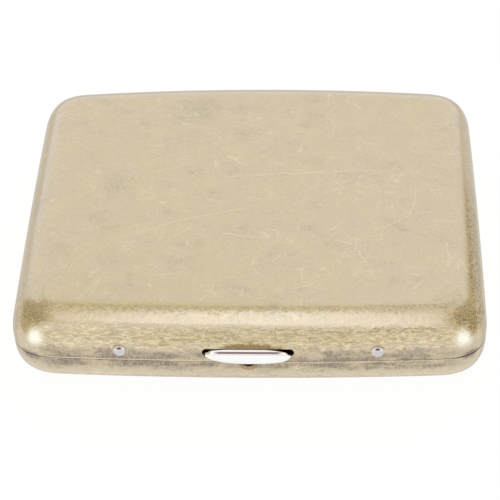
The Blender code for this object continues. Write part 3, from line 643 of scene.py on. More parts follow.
def aged_brass():
    """Outside of the case: pale rubbed brass with speckled edges and grey patina along the seam."""
    made, shader, place, normal = new_material("aged_brass")
    face_x, face_y, face_z = (abs(part) for part in parts(normal))
    sideways = fade(face_x - face_y, -0.1, 0.1)
    x, y, height = parts(place)
    from_middle = abs(x)
    rise = height - SEAM * MM
    from_seam = abs(rise)
    upper = fade(rise, -0.02, 0.02)
    middle = placed(CLOUDS, place, Size=1.3, Detail=4.0, Contrast=3.0)
    ragged = middle * 1.2 - 0.6

    def drawn_tarnish(size, cover, softness, stretch):
        """Spots drawn out along the nearest side of the case."""
        spots = [placed(TARNISH, stretched(place, *factors), Size=size, Cover=cover, Softness=softness)
                 for factors in ((stretch, 1.0, 1.0), (1.0, stretch, 1.0))]
        return out_of(place.tree, "ShaderNodeMix", {0: sideways, 2: spots[0], 3: spots[1]})

    colour = rubbed_ground(place, middle)

    # the rounded edges are pitted and speckled, most of all at the front corners
    corner = fade(from_middle, 38.0, 44.0) * fade(abs(y), 28.0, 35.0)
    lifted = face_z + middle * 0.08
    hot = corner * between(face_z, 0.30, 0.72, 0.08)
    zone = between(lifted, 0.34, 0.83, 0.035) * fade(y, -20.0, -32.0, 0.15, 1.0) * (1.0 - hot * 0.75)
    dense = fade(from_middle, 30.0, 12.0, 0.15, 0.38) + between(lifted, 0.42, 0.64, 0.06) * 0.22
    dark_specks = calc("MAXIMUM", drawn_tarnish(0.50, 0.43, 0.05, 0.17),
                       drawn_tarnish(0.24, 0.44, 0.06, 0.36) * 0.8)
    dark_share = dark_specks * zone * dense
    light_share = drawn_tarnish(0.36, 0.43, 0.06, 0.24) * zone * fade(from_middle, 12.0, 30.0, 0.50, 0.66)
    colour = blend_colours(dark_share, colour, PIT_BROWN)
    colour = blend_colours(light_share, colour, FLECK_LIGHT)

    # painted highlights on the lid's front corners, standing in for the lamps' reflections
    corner_highlight = calc("MAXIMUM", near_point(place, -42.6, -37.1, 14.2, 2.7),
                  near_point(place, 43.0, -37.0, 14.1, 2.7))
    colour = blend_colours(corner_highlight * 0.85, colour, CORNER_HIGHLIGHT)

    # the shoulder is browner towards the front, and dark specks gather at the front corners and on the front
    # part of the right side: partly tarnish, partly a painted reflection of the brown room, which shows only
    # towards the front
    edge = fade(face_z, 0.9997, 0.9955)
    forward = fade(y, -26.0, -32.0)
    shoulder = edge * between(lifted, 1.004, 1.3, 0.014) * forward
    colour = blend_colours(shoulder * 0.12, colour, SHOULDER_TARNISH_AND_REFLECTION)
    rough_z = face_z + (middle - 0.5) * 0.06
    at_corners = corner * fade(y, 0.0, -20.0) * between(rough_z, 0.74, 0.965, 0.02)
    right_side = fade(x, 38.0, 43.0) * fade(y, 12.0, -8.0) * fade(y, -37.5, -34.0)
    # tarnish and painted reflection on the front corners and the right side
    tarnish_and_reflection = calc("MAXIMUM", at_corners, right_side * between(rough_z, 0.46, 0.82, 0.04))
    gathered = calc("ADD", shoulder * 0.30 + edge * forward * 0.12, tarnish_and_reflection * 0.66, clamp=True)
    colour = blend_colours(drawn_tarnish(0.34, 0.46, 0.05, 0.6) * gathered, colour, SPECK_DARK)
    colour = blend_colours(tarnish_and_reflection * 0.05, colour, CORNER_TARNISH_AND_REFLECTION)

    # grey patina along the seam, in drawn-out blotches with an upright weave, and a dark wedge at each end
    ends = fade(from_middle, 38.0, 43.5) * 0.85
    low = fade(rise + ragged, 3.6, 2.3) * fade(rise + ragged, -3.4, -1.6) * (1.0 - ends)
    depth = drawn_tarnish(2.2, 0.56, 0.10, 0.32) * 0.71 + fade(from_seam, 2.2, 0.7) * 0.12
    weave = placed(TARNISH, stretched(place, 1.0, 1.0, 0.22), Size=0.34, Cover=0.52, Softness=0.14)
    wedges = (near_point(place, -43.9, -37.7, SEAM * MM - 0.7, 3.4)
              + near_point(place, 44.4, -37.3, SEAM * MM + 0.6, 2.8)) * fade(from_seam, 1.9, 0.5)
    patina = calc("MAXIMUM", low * depth * (weave * 0.65 + 0.50), wedges * (weave + 0.7) * 0.75)
    colour = blend_colours(low * 0.17, colour, SEAM_TAN)
    colour = blend_colours(calc("MINIMUM", patina, 0.92), colour, PATINA_GREY)

    # painted shade above the slot, and painted shadow over each rivet
    colour, ring = latch_shade(colour, x, y, rise, ragged)
    # painted highlight on one rim of the seam and painted shade in the gap
    colour = rim_highlight_and_shade(colour, x, ragged, upper, corner, from_seam)
    # painted shadow over each rivet
    colour = blend_colours(ring * 0.55, colour, RIVET_SHADOW_BROWN)
    lines = case_lines(place, upper)
    feed(shader["Base Color"], blend_colours(lines * 0.62, colour, LINE_LIGHT))
    feed(shader["Roughness"], 0.15 + middle * 0.06 + patina * 0.25 + dark_share * 0.25)
    feed(shader["Metallic"], 1.0)
    relief = bump(placed(CLOUDS, place, Size=0.9, Detail=2.0, Contrast=1.5), 0.6, 0.000008)
    relief = bump(light_share - dark_share, 0.8, 0.00002, Normal=relief)
    feed(shader["Normal"], bump(lines, 0.4, 0.000006, Normal=relief))
    return made


def metal_ground(place, colour, worn, size):
    """Two shades of a plain metal in soft patches with fine hairlines: colour, patches and lines."""
    patches = placed(CLOUDS, place, Size=size, Detail=4.0, Contrast=2.4)
    lines = placed(HAIRLINES, place, Turn=0.2, Spacing=0.9, Width=0.03, Cover=0.5, Drift=0.5)
    bright = tuple(min(1.2 * part, 1.0) for part in colour)
    return blend_colours(lines * 0.3, blend_colours(patches, colour, worn), bright), patches, lines


def finish_metal(shader, shade, roughness, patches, lines, relief):
    feed(shader["Base Color"], shade)
    feed(shader["Roughness"], roughness + patches * 0.08)
    feed(shader["Metallic"], 1.0)
    feed(shader["Normal"], bump(patches + lines, 0.6, relief))


def plain_metal(name, colour, worn, stain, roughness, size, relief):
    """A simpler metal: two shades in soft patches, fine hairlines, small stains and a slight relief."""
    made, shader, place, _ = new_material(name)
    shade, patches, lines = metal_ground(place, colour, worn, size)
    stains = placed(TARNISH, place, Size=1.5 * size, Cover=0.30, Softness=0.10)
    finish_metal(shader, blend_colours(stains * 0.45, shade, stain), roughness, patches, lines, relief)
    return made


def thumb_nickel():
    """White nickel with a dark line of painted shade in the fold of the thumb-piece, and a darker painted
    colour on the flange, which faces the softbox.
    """
    made, shader, place, _ = new_material("thumb_nickel")
    shade, patches, lines = metal_ground(place, THUMB_WHITE, THUMB_WORN, 2.0)
    x, y, height = parts(place)
    behind = y - FOLD_Y * MM
    top = (SEAM + THUMB_TOP) * MM
    raised = fade(height, top - 0.45, top - 0.3)
    # painted shade: a dark line on the flange just behind the fold, in the shadow of the lip
    fold_shade = between(behind, 0.20, 0.60, 0.07) * fade(abs(x - FRONT_SHIFT * MM), 7.6, 5.6) * raised
    # painted shade: the flange faces the softbox and gets a darker colour, so its reflection stays below
    # white
    shade = blend_colours(fade(behind, 0.36, 0.56) * raised, shade, FLANGE_SHADE)
    shade = blend_colours(fold_shade * 0.92, shade, FOLD_SHADE)
    finish_metal(shader, shade, 0.08, patches, lines, 0.000001)
    return made


def rivet_nickel():
    """Greyer nickel, with a painted dark reflection of the camera lens near the top of each rivet's head."""
    made, shader, place, _ = new_material("rivet_nickel")
    shade, patches, lines = metal_ground(place, RIVET_GREY, RIVET_WORN, 0.6)
    x, y, height = parts(place)
    across = from_rivets(x) / 0.50
    up = (height - ((SEAM + RIVET_Z) * MM + 0.80)) / 0.19
    # painted reflection of the camera lens: a dark spot near the top of each head
    lens_reflection = fade(across * across + up * up, 1.3, 0.5) * fade(y, -34.0, -36.0)
    finish_metal(shader, blend_colours(lens_reflection * 0.9, shade, RIVET_LENS_REFLECTION), 0.12, patches, lines, 0.000001)
    return made


# Meshes and pieces

def shares(steps, first=0):
    """Even steps from 0 to 1, or from a later one."""
    return [i / steps for i in range(first, steps + 1)]


def arc(centre, radius, start, end, steps):
    return [(centre[0] + radius * cos(start + (end - start) * share),
             centre[1] + radius * sin(start + (end - start) * share)) for share in shares(steps)]


def straight(first, last, steps):
    """Points from the first, which is left out, to the last."""
    return [first.lerp(last, share) for share in shares(steps, 1)]


def bend(first, middle, last, steps):
    """Points round a bend, from the first, which is left out, to the last."""
    return [first.lerp(middle, share).lerp(middle.lerp(last, share), share) for share in shares(steps, 1)]


def loft(rings):
    """One closed body through rings of equally many points, with a flat face on the first and last."""
    shape = bmesh.new()
    loops = [[shape.verts.new(point) for point in ring] for ring in rings]
    count = len(loops[0])
    for lower, upper in zip(loops, loops[1:]):
        for i in range(count):
            j = (i + 1) % count
            shape.faces.new((lower[i], lower[j], upper[j], upper[i]))
    shape.faces.new(loops[0])
    shape.faces.new(loops[-1])
    return shape


def prism(name, outline, low, high, finish, place):
    """A body with the same outline all along; place makes a point from an outline's point and a level."""
    rings = [[place(*point, level) for point in outline] for level in (low, high)]
    return add_object(name, loft(rings), finish)


def link_object(name, data):
    made = bpy.data.objects.new(name, data)
    bpy.context.scene.collection.objects.link(made)
    return made


def smooth(piece):
    piece.data.shade_smooth()
    piece.data.set_sharp_from_angle(angle=SMOOTH_ANGLE)
    return piece


def add_object(name, shape, *finishes):
    """Turn a bmesh into a smooth named object whose faces point out."""
    bmesh.ops.remove_doubles(shape, verts=shape.verts, dist=LEAST_STEP)
    bmesh.ops.dissolve_degenerate(shape, edges=shape.edges, dist=LEAST_STEP)
    bmesh.ops.recalc_face_normals(shape, faces=shape.faces)
    mesh = bpy.data.meshes.new(name)
    shape.to_mesh(mesh)
    shape.free()
    for finish in finishes:
        mesh.materials.append(finish)
    return smooth(link_object(name, mesh))


def make_plain(piece):
    """Replace a piece's mesh by its evaluated one and drop its modifiers."""
    graph = bpy.context.evaluated_depsgraph_get()
    mesh = bpy.data.meshes.new_from_object(piece.evaluated_get(graph))
    piece.modifiers.clear()
    piece.data = mesh
    return smooth(piece)


def cut(piece, tools):
    """Cut tools out of a piece; a cut face takes its tool's material."""
    for tool in tools:
        modifier = piece.modifiers.new(tool.name, "BOOLEAN")
        modifier.operation = "DIFFERENCE"
        modifier.object = tool
        modifier.material_mode = "TRANSFER"
    make_plain(piece)
    for tool in tools:
        bpy.data.objects.remove(tool, do_unlink=True)
    return piece


def bow_at(x, bow):
    """How far the front or back edge has drawn in at a distance from the middle of the case."""
    return bow * (x / (HALF_WIDTH - SIDE_BOW - PLAN_CORNER)) ** 2


def plan_quarter(inset, bow):
    """A quarter of the plan outline, from the middle of a bowed edge round the corner to the right side."""
    corner = max(PLAN_CORNER - inset, LEAST_CORNER)
    reach_x = HALF_WIDTH - inset
    reach_y = HALF_DEPTH - inset
    flat_x = reach_x - SIDE_BOW - corner
    flat_y = reach_y - bow - corner
    edge = [Vector((flat_x * share, -reach_y + bow * share ** 2)) for share in shares(SIDE_STEPS)]
    side = [Vector((reach_x - SIDE_BOW * share ** 2, -flat_y * share)) for share in shares(SIDE_STEPS)[::-1]]
    leave = Vector((1, 2 * bow / flat_x)).normalized()
    arrive = Vector((2 * SIDE_BOW / flat_y, 1)).normalized()
    turn = interpolate_bezier(edge[-1], edge[-1] + leave * CORNER_PULL * corner,
                              side[0] - arrive * CORNER_PULL * corner, side[0], CORNER_STEPS + 1)
    return edge + [Vector(point[:2]) for point in turn[1:-1]] + side


def plan_ring(inset):
    """Plan outline of the case drawn in by inset: four gently bowed sides with round corners."""
    ring = []
    for sign_x, sign_y in ((1, 1), (1, -1), (-1, -1), (-1, 1)):
        quarter = plan_quarter(inset, FRONT_BOW if sign_y > 0 else BACK_BOW)
        points = [(point.x * sign_x, point.y * sign_y) for point in quarter]
        if sign_x * sign_y < 0:
            points.reverse()
        ring += points[:-1]
    return ring


def wall_inset(half, rise):
    """How far a half's outer wall has drawn in at a height above the seam."""
    angle = asin(min(max(rise - (half.height - half.rounding), 0.0) / half.rounding, 1.0))
    return half.rounding * (1 - cos(angle))


def shell_section(half):
    """(inset, height above the seam) pairs from the inner flat, over the rounded rim, to the outer flat."""
    height = half.height
    rounding = half.rounding
    level = height - rounding
    low = RIM_GAP / 2 + RIM_ROUND
    points = [(rounding + FLAT_MARGIN, height - SHEET)]
    points += [(rounding - y, level + z) for y, z in arc((0, 0), rounding - SHEET, pi / 2, 0, EDGE_STEPS)]
    points += arc((SHEET - RIM_ROUND, low), RIM_ROUND, 0, -pi / 2, RIM_STEPS)
    points += arc((RIM_ROUND, low), RIM_ROUND, -pi / 2, -pi, RIM_STEPS)
    crown = CROWN_WIDTH * tan(CROWN_TURN) / 2
    settled = level - crown + rounding * (1 - cos(CROWN_TURN))
    points += [(rounding - y, settled + z)
               for y, z in arc((0, 0), rounding, 0, pi / 2 - CROWN_TURN, EDGE_STEPS)]
    points += [(rounding * (1 - sin(CROWN_TURN)) + CROWN_WIDTH * share, height - crown * (1 - share) ** 2)
               for share in shares(CROWN_STEPS, 1)]
    points.append((rounding + CROWN_WIDTH + FLAT_MARGIN, height))
    return points


def shell(half, outside, inside):
    """A pressed half, as one skin with rounded rims; its inner face has its own finish."""
    shape = loft([[(x, y, SEAM + half.up * rise) for x, y in plan_ring(inset)]
                  for inset, rise in shell_section(half)])
    shape.faces.ensure_lookup_table()
    inner_faces = (EDGE_STEPS + 2) * len(plan_ring(0.0))
    for i in (*range(inner_faces), len(shape.faces) - 2):
        shape.faces[i].material_index = 1
    return add_object(half.name + "_skin", shape, outside, inside)


def slot_tool(finish):
    radius = SLOT_HEIGHT / 2
    reach = THUMB_WIDTH / 2 + SLOT_SIDE_GAP - radius
    middle = SEAM + SLOT_TOP - radius
    outline = arc((FRONT_SHIFT + reach, middle), radius, -pi / 2, pi / 2, SLOT_STEPS)
    outline += arc((FRONT_SHIFT - reach, middle), radius, pi / 2, 3 * pi / 2, SLOT_STEPS)
    return prism("slot_tool", outline, -HALF_DEPTH - SHEET, -HALF_DEPTH + LID_ROUND / 2, finish,
                 lambda x, z, y: (x, y, z))


def bore_tool(name, x, z, radius, low, high, finish):
    """A round bar along Y, for cutting; its place is given by x and its height above the seam."""
    outline = arc((x, SEAM + z), radius, 0, 2 * pi * (1 - 1 / ROUND_SIDES), ROUND_SIDES - 1)
    return prism(name, outline, low, high, finish, lambda u, v, y: (u, y, v))


def rivet_bores(low, high, finish):
    return [bore_tool("rivet_bore", FRONT_SHIFT + x, RIVET_Z, RIVET_SHANK + BORE_GAP, low, high, finish)
            for x in (-RIVET_X, RIVET_X)]


def stud_bore(middle, finish):
    return bore_tool("stud_bore", 0.0, STUD_Z, STUD_RADIUS + BORE_GAP, middle - SHEET, middle + SHEET, finish)


def notch_tool(finish):
    """A funnel that cuts the notch in the base's front rim and files a bevel round it."""
    rings = []
    for y, share in ((-HALF_DEPTH - SHEET, -0.5), (-HALF_DEPTH, 0.0), (-HALF_DEPTH + NOTCH_BEVEL, 1.0),
                     (-HALF_DEPTH + BASE_ROUND / 2, 1.0)):
        wide = NOTCH_WIDTH / 2 - share * NOTCH_BEVEL_WIDTH
        deep = NOTCH_DEPTH - share * NOTCH_BEVEL_DEPTH
        rings.append([(FRONT_SHIFT + wide * cos(turn), y, SEAM + deep * sin(turn))
                      for turn in (2 * pi * i / ROUND_SIDES for i in range(ROUND_SIDES))])
    return add_object("notch_tool", loft(rings), finish)


def hinge_tool(half, finish):
    near = HALF_DEPTH - 2 * LID_ROUND / 3
    far = HINGE_Y + HINGE_RECESS
    low = SEAM - HINGE_RECESS
    high = SEAM + HINGE_RECESS
    wide = HINGE_LENGTH / 2 + KNUCKLE_GAP
    return prism(half.name + "_hinge_tool", [(near, low), (far, low), (far, high), (near, high)], -wide, wide,
                 finish, lambda y, z, x: (x, y, z))


def flange_depth(x):
    """How far the thumb-piece's flange reaches back at x: a pointed right end and a blunt left one."""
    share = min(2 * abs(x) / FLANGE_WIDTH, 1.0)
    return THUMB_FLANGE * (1 - share ** 2) ** (FLANGE_POINT_RIGHT if x > 0 else FLANGE_POINT_LEFT)


def face_depth(x):
    """Depth at x of the thumb-piece's face: full in the middle, nothing at its ends, blunter on the right."""
    share = min(2 * abs(x) / THUMB_WIDTH, 1.0)
    fullness = THUMB_FULLNESS_RIGHT if x > 0 else THUMB_FULLNESS_LEFT
    return THUMB_FACE * (1 - share ** fullness) ** (1 / fullness)


def thumb_ring(x):
    """The thumb-piece's cross-section at x: face, lip, rising flange and, near the middle, tongue and tab."""
    thick = THUMB_SHEET / 2
    towards_tip = max(2 * abs(x) / THUMB_WIDTH - TIP_START, 0.0) / (1 - TIP_START)
    drop = min(TIP_DROP * towards_tip ** 2, MOST_DROP * face_depth(x))
    corner = Vector((FOLD_Y + thick, SEAM + THUMB_TOP - thick))
    corner.y -= drop
    down = Vector((-sin(THUMB_SLOPE), -cos(THUMB_SLOPE)))
    back = Vector((cos(FLANGE_RISE), sin(FLANGE_RISE)))
    face = face_depth(x) - drop
    flange = flange_depth(x - FLANGE_SHIFT)
    fold = min(THUMB_FOLD, MOST_FOLD * face, MOST_FOLD * flange) + LEAST_FOLD
    path = [corner + down * (fold + (face - fold) * (1 - share)) for share in shares(THUMB_STEPS)]
    path += bend(corner + down * fold, corner, corner + back * fold, THUMB_STEPS)
    path += [corner + back * (fold + (max(flange, fold) - fold) * share)
             for share in shares(FLANGE_STEPS, 1)]
    if abs(x) <= TONGUE_WIDTH / 2:
        turn = Vector((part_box("latch_stud")[0].y + TAB_INSET, path[-1].y))
        before = turn - Vector((TAB_BEND, 0.0))
        after = turn - Vector((0.0, TAB_BEND))
        path += straight(path[-1], before, TAB_STEPS) + bend(before, turn, after, TAB_BEND_STEPS)
        path += straight(after, Vector((turn.x, corner.y - TAB_DROP)), TAB_STEPS)
    else:
        path += [path[-1]] * (2 * TAB_STEPS + TAB_BEND_STEPS)
    return sheet_ring(FRONT_SHIFT + x, path, thick)


def sheet_ring(x, path, thick):
    """Closed cross-section of a bent sheet with round edges, in the plane at x."""
    outer = []
    inner = []
    for i, point in enumerate(path):
        along = path[min(i + 1, len(path) - 1)] - path[max(i - 1, 0)]
        earlier = i
        while along.length < NO_LENGTH and earlier > 0:
            earlier -= 1
            along = point - path[earlier]
        along.normalize()
        side = Vector((-along.y, along.x)) * thick
        outer.append(point + side)
        inner.append(point - side)
    start = (path[1] - path[0]).normalized()
    under = Vector((start.y, -start.x))
    over = (outer[-1] - inner[-1]).normalized()
    end = Vector((over.y, -over.x))
    turns = [pi * share for share in shares(CAP_STEPS, 1)[:-1]]
    end_cap = [path[-1] + end * (thick * sin(turn)) + over * (thick * cos(turn)) for turn in turns]
    start_cap = [path[0] - start * (thick * sin(turn)) + under * (thick * cos(turn)) for turn in turns]
    return [(x, point.x, point.y) for point in outer + end_cap + inner[::-1] + start_cap]


def thumb_piece(finish):
    half = THUMB_WIDTH / 2
    tongue = TONGUE_WIDTH / 2
    places = [half * sin(pi / 2 * share) ** (2 / THUMB_FULLNESS_RIGHT) for share in shares(LENS_STEPS)]
    places = [x for x in places if abs(x - tongue) > TONGUE_CLEAR] + [tongue, tongue + LEAST_FOLD]
    places = sorted(set(places))
    places = [-x for x in reversed(places)] + places[1:]
    return add_object("thumb_plate", loft([thumb_ring(x) for x in places]), finish)


def domed(end, inward, height, radius):
    """Half the profile of a domed head, as (place along the axis, radius) pairs from its end inwards."""
    return [(end + inward * height * (1 - cos(turn)), radius * sin(turn))
            for turn in (pi / 2 * max(share, DOME_TIP_SHARE) for share in shares(DOME_STEPS))]


def turned(profile, axis="Y"):
    """Rings of a body turned about X or Y, from (place along the axis, radius) pairs."""
    rings = []
    for place, radius in profile:
        around = [(radius * cos(2 * pi * i / ROUND_SIDES), radius * sin(2 * pi * i / ROUND_SIDES))
                  for i in range(ROUND_SIDES)]
        rings.append([Vector((place, u, v) if axis == "X" else (u, place, v)) for u, v in around])
    return rings


def strip_body(name, path, half_widths, sheet, view, finish):
    """A strip of sheet metal with round long edges that follows a path, with its own width at each point."""
    radius = sheet / 2
    rings = []
    for i, point in enumerate(path):
        here = Vector(point)
        ahead = Vector(path[min(i + 1, len(path) - 1)]) - here
        behind = here - Vector(path[max(i - 1, 0)])
        along = (ahead.normalized() + behind.normalized()).normalized()
        across = Vector((-along.y, along.x))
        flat = max(half_widths[i] - radius, LEAST_FLAT)
        ring = []
        for sign, start in ((1, -pi / 2), (-1, pi / 2)):
            for turn in (start + pi * share for share in shares(CAP_STEPS)):
                side = here + across * (radius * sin(turn))
                ring.append(view @ Vector((*side, sign * flat + radius * cos(turn))))
        rings.append(ring)
    return add_object(name, loft(rings), finish)


def softened(name, node, finish):
    """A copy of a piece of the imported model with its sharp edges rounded."""
    source = frame["nodes"][node]
    mesh = source.data.copy()
    mesh.transform(source.matrix_world)
    mesh.materials.clear()
    mesh.materials.append(finish)
    piece = link_object(name, mesh)
    weld = piece.modifiers.new("weld", "WELD")
    weld.merge_threshold = WELD_REACH
    bevel = piece.modifiers.new("bevel", "BEVEL")
    bevel.width = SOFT_EDGE
    bevel.segments = BEVEL_STEPS
    bevel.angle_limit = BEVEL_ANGLE
    return make_plain(piece)


def joined(name, pieces):
    """One object from several."""
    shape = bmesh.new()
    for piece in pieces:
        shape.from_mesh(piece.data)
    mesh = pieces[0].data.copy()
    shape.to_mesh(mesh)
    shape.free()
    for piece in pieces:
        bpy.data.objects.remove(piece, do_unlink=True)
    return smooth(link_object(name, mesh))


# Geometry Nodes

def finished(group, geometry, finish):
    """End a group with real geometry in its finish."""
    real = out_of(group, "GeometryNodeRealizeInstances", {0: geometry})
    return give_out(group, "Geometry", out_of(group, "GeometryNodeSetMaterial", {"Geometry": real,
                                                                                 "Material": finish}))


def row_tree():
    """Copies of one body in a row along X."""
    group, given = new_group("row_of_copies", "GeometryNodeTree", {
        "Body": "Geometry", "Count": 2, "Spacing": 0.01, "First": (0.0, 0.0, 0.0), "Finish": "Material"})
    step = out_of(group, "ShaderNodeCombineXYZ", {"X": given["Spacing"]})
    line = out_of(group, "GeometryNodeMeshLine", {"Count": given["Count"], "Start Location": given["First"],
                                                  "Offset": step})
    copies = out_of(group, "GeometryNodeInstanceOnPoints", {"Points": line, "Instance": given["Body"]})
    return finished(group, copies, given["Finish"])


def wire_tree():
    """A coil of wire about X with a straight leg at each end."""
    nowhere = (0.0, 0.0, 0.0)
    group, given = new_group("coil_with_legs", "GeometryNodeTree", {
        "Body": "Geometry", "Radius": 0.001, "Turns": 4.0, "Width": 0.002, "Wire": 0.0002, "Reversed": False,
        "First Foot": nowhere, "First End": nowhere, "Last Foot": nowhere, "Last End": nowhere,
        "Finish": "Material"})
    spiral = out_of(group, "GeometryNodeCurveSpiral", {
        "Resolution": COIL_STEPS, "Rotations": given["Turns"], "Start Radius": given["Radius"],
        "End Radius": given["Radius"], "Height": given["Width"], "Reverse": given["Reversed"]})
    start = out_of(group, "ShaderNodeCombineXYZ", {"X": given["Width"] * -0.5})
    runs = [out_of(group, "GeometryNodeTransform", {"Geometry": spiral, "Translation": start,
                                                    "Rotation": (pi / 2, 0.0, pi / 2)})]
    runs += [out_of(group, "GeometryNodeCurvePrimitiveLine", {"Start": given[leg + " Foot"],
                                                              "End": given[leg + " End"]})
             for leg in ("First", "Last")]
    wires = group.nodes.new("GeometryNodeJoinGeometry")
    for run in runs:
        feed(wires.inputs[0], run)
    section = out_of(group, "GeometryNodeCurvePrimitiveCircle", {
        "Resolution": WIRE_SIDES, "Radius": given["Wire"]})
    tube = out_of(group, "GeometryNodeCurveToMesh", {
        "Curve": Value(wires.outputs[0]), "Profile Curve": section, "Fill Caps": True})
    return finished(group, tube, given["Finish"])


def run_tree(piece, tree, values):
    """Run a Geometry Nodes tree on a piece, and keep the result as a plain mesh."""
    modifier = piece.modifiers.new(tree.name, "NODES")
    modifier.node_group = tree
    for item in tree.interface.items_tree:
        if item.in_out == "INPUT" and item.name in values:
            modifier[item.identifier] = values[item.name]
    return make_plain(piece)


# Latch

def rivets(rows, finish):
    """The two domed rivets: head flush on the sloping wall, shank through it and a tail behind the strip."""
    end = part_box("latch_rivet_left")[1].y
    sphere = (RIVET_HEAD ** 2 + RIVET_DOME ** 2) / (2 * RIVET_DOME)
    lean = asin((RIVET_Z - (LID.height - LID_ROUND)) / LID_ROUND)
    seat = -HALF_DEPTH + bow_at(RIVET_X, FRONT_BOW) + wall_inset(LID, RIVET_Z)
    sweep = asin(RIVET_HEAD / sphere)
    dome = [(-RIVET_DOME + sphere * (1 - cos(sweep * share)),
             sphere * sin(sweep * max(share, RIVET_TIP_SHARE))) for share in shares(RIVET_STEPS)]
    dome.append((RIVET_SINK, RIVET_HEAD - RIVET_SINK / 2))
    head = [[Matrix.Rotation(-lean, 3, "X") @ point + Vector((0, seat, 0)) for point in ring]
            for ring in turned(dome)]
    tail = end - TAIL_HEIGHT
    wide = RIVET_SHANK + TAIL_HEIGHT
    shank = turned([(seat + SHEET, RIVET_SHANK), (tail, RIVET_SHANK), (tail, wide),
                    (tail + TAIL_STRAIGHT, wide), (end, RIVET_SHANK + TAIL_HEIGHT / 2)])
    body = add_object("rivets", loft(head + shank), finish)
    return run_tree(body, rows, {"Count": 2, "Spacing": 2 * RIVET_X,
                                 "First": (FRONT_SHIFT - RIVET_X, 0.0, SEAM + RIVET_Z), "Finish": finish})


def latch_strip(finish):
    """The flat spring: its ends lie on the wall, its middle stands off it to leave room for the tab."""
    low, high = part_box("latch_spring")
    near = low.y + STRIP_SHEET / 2
    far = high.y - STRIP_SHEET / 2
    start = RIVET_X - JOGGLE_START
    right = [(start - JOGGLE_RUN * (1 - share), far + (near - far) * (3 * share ** 2 - 2 * share ** 3))
             for share in shares(JOGGLE_STEPS)]
    wide = [STRIP_HEIGHT / 2] * len(right)
    right += [(RIVET_X + STRIP_END - STRIP_END / 3 * (1 - sin(pi / 2 * share)), near)
              for share in shares(STRIP_TIP_STEPS)]
    wide += [STRIP_TIP / 2 + (STRIP_HEIGHT - STRIP_TIP) / 2 * cos(pi / 2 * share)
             for share in shares(STRIP_TIP_STEPS)]
    path = [(-x, y) for x, y in reversed(right)] + right
    strip = strip_body("spring_strip", path, wide[::-1] + wide, STRIP_SHEET, PLAN_VIEW, finish)
    strip.data.transform(Matrix.Translation((0, 0, SEAM + STRIP_Z)))
    return cut(strip, rivet_bores(low.y - SHEET, near + SHEET, finish) + [stud_bore(far, finish)])


def latch_hook(finish):
    """A folded hook behind the strip, with a nose that turns out below the catch plate."""
    low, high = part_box("latch_hook")
    middle_y = high.y - HOOK_SHEET / 2
    foot = low.z + HOOK_SHEET / 2
    shoulder = SEAM + STUD_Z - 1.5 * STUD_HEAD
    top, start, end, above = (Vector((middle_y, level)) for level in (
        high.z, shoulder + HOOK_SHOULDER, shoulder, foot + HOOK_SHEET))
    path = [top] + straight(top, start, HOOK_STEPS)
    wide = [HOOK_HEAD / 2] * len(path)
    path += straight(start, end, SHOULDER_STEPS) + straight(end, above, HOOK_STEPS)
    path += bend(above, Vector((middle_y, foot)), Vector((middle_y - HOOK_SHEET, foot)), SHOULDER_STEPS)
    path.append(Vector((low.y, foot)))
    wide += [HOOK_WIDTH / 2 + (HOOK_HEAD - HOOK_WIDTH) / 2 * cos(pi / 2 * share)
             for share in shares(SHOULDER_STEPS, 1)]
    wide += [HOOK_WIDTH / 2] * (len(path) - len(wide))
    hook = strip_body("hook_plate", path, wide, HOOK_SHEET, SIDE_VIEW, finish)
    return cut(hook, [stud_bore(middle_y, finish)])


def latch_stud(finish):
    low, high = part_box("latch_stud")
    profile = []
    for end, inward in ((low.y, 1), (high.y, -1)):
        dome = domed(end, inward, STUD_HEAD_HEIGHT, STUD_HEAD)
        profile += (dome + [(end + inward * STUD_HEAD_HEIGHT, STUD_RADIUS)])[::inward]
    stud = add_object("stud_pin", loft(turned(profile)), finish)
    stud.data.transform(Matrix.Translation((0, 0, SEAM + STUD_Z)))
    return stud


def catch_plate(finish):
    """The plate behind the base's front rim, formed to the wall and notched with it."""
    level = BASE.height - BASE_ROUND
    radius = BASE_ROUND - SHEET - SEAT_GAP - CATCH_SHEET / 2
    centre = (-(HALF_DEPTH - BASE_ROUND), SEAM - level)
    path = [(centre[0] - radius, SEAM - SEAT_GAP - level * i / CATCH_STEPS) for i in range(CATCH_STEPS - 3)]
    path += arc(centre, radius, pi, pi + CATCH_WRAP, CATCH_WRAP_STEPS)
    plate = strip_body("catch_strip", path, [CATCH_WIDTH / 2] * len(path), CATCH_SHEET, SIDE_VIEW, finish)
    return cut(plate, [bore_tool("catch_notch", FRONT_SHIFT, 0.0, NOTCH_WIDTH / 2 + CATCH_NOTCH_GAP,
                                 -HALF_DEPTH, -HALF_DEPTH + BASE_ROUND / 2, finish)])


# Hinge

def leaf_path(half):
    """Where a hinge leaf's plate runs, and where its knuckles roll, seen from the side."""
    roll = PIN_RADIUS + PIN_CLEARANCE + LEAF_SHEET / 2
    wall_y = HALF_DEPTH - bow_at(HINGE_LENGTH / 2, BACK_BOW)
    radius = half.rounding - SHEET - LEAF_SEAT - LEAF_SHEET / 2
    level = half.height - half.rounding
    least = asin(max(roll + LEAF_BEND - level, 0.0) / radius)
    centre = (wall_y - half.rounding, level)
    plate = [Vector(point) for point in arc(centre, radius, LEAF_WRAP + least, least, LEAF_STEPS)]
    edge = plate[-1]
    turn = Vector((edge.x, edge.y - LEAF_BEND / 2))
    over = Vector((edge.x + LEAF_BEND, turn.y - LEAF_BEND / 3))
    plate += bend(edge, turn, over, LEAF_BEND_STEPS)
    knuckle = [over] + straight(over, Vector((HINGE_Y, roll)), LEAF_REACH_STEPS)[:-1]
    knuckle += [Vector(point) for point in arc((HINGE_Y, 0), roll, pi / 2, pi / 2 - ROLL_TURN, ROLL_STEPS)]
    return [[Vector((point.x, SEAM + half.up * point.y)) for point in path] for path in (plate, knuckle)]


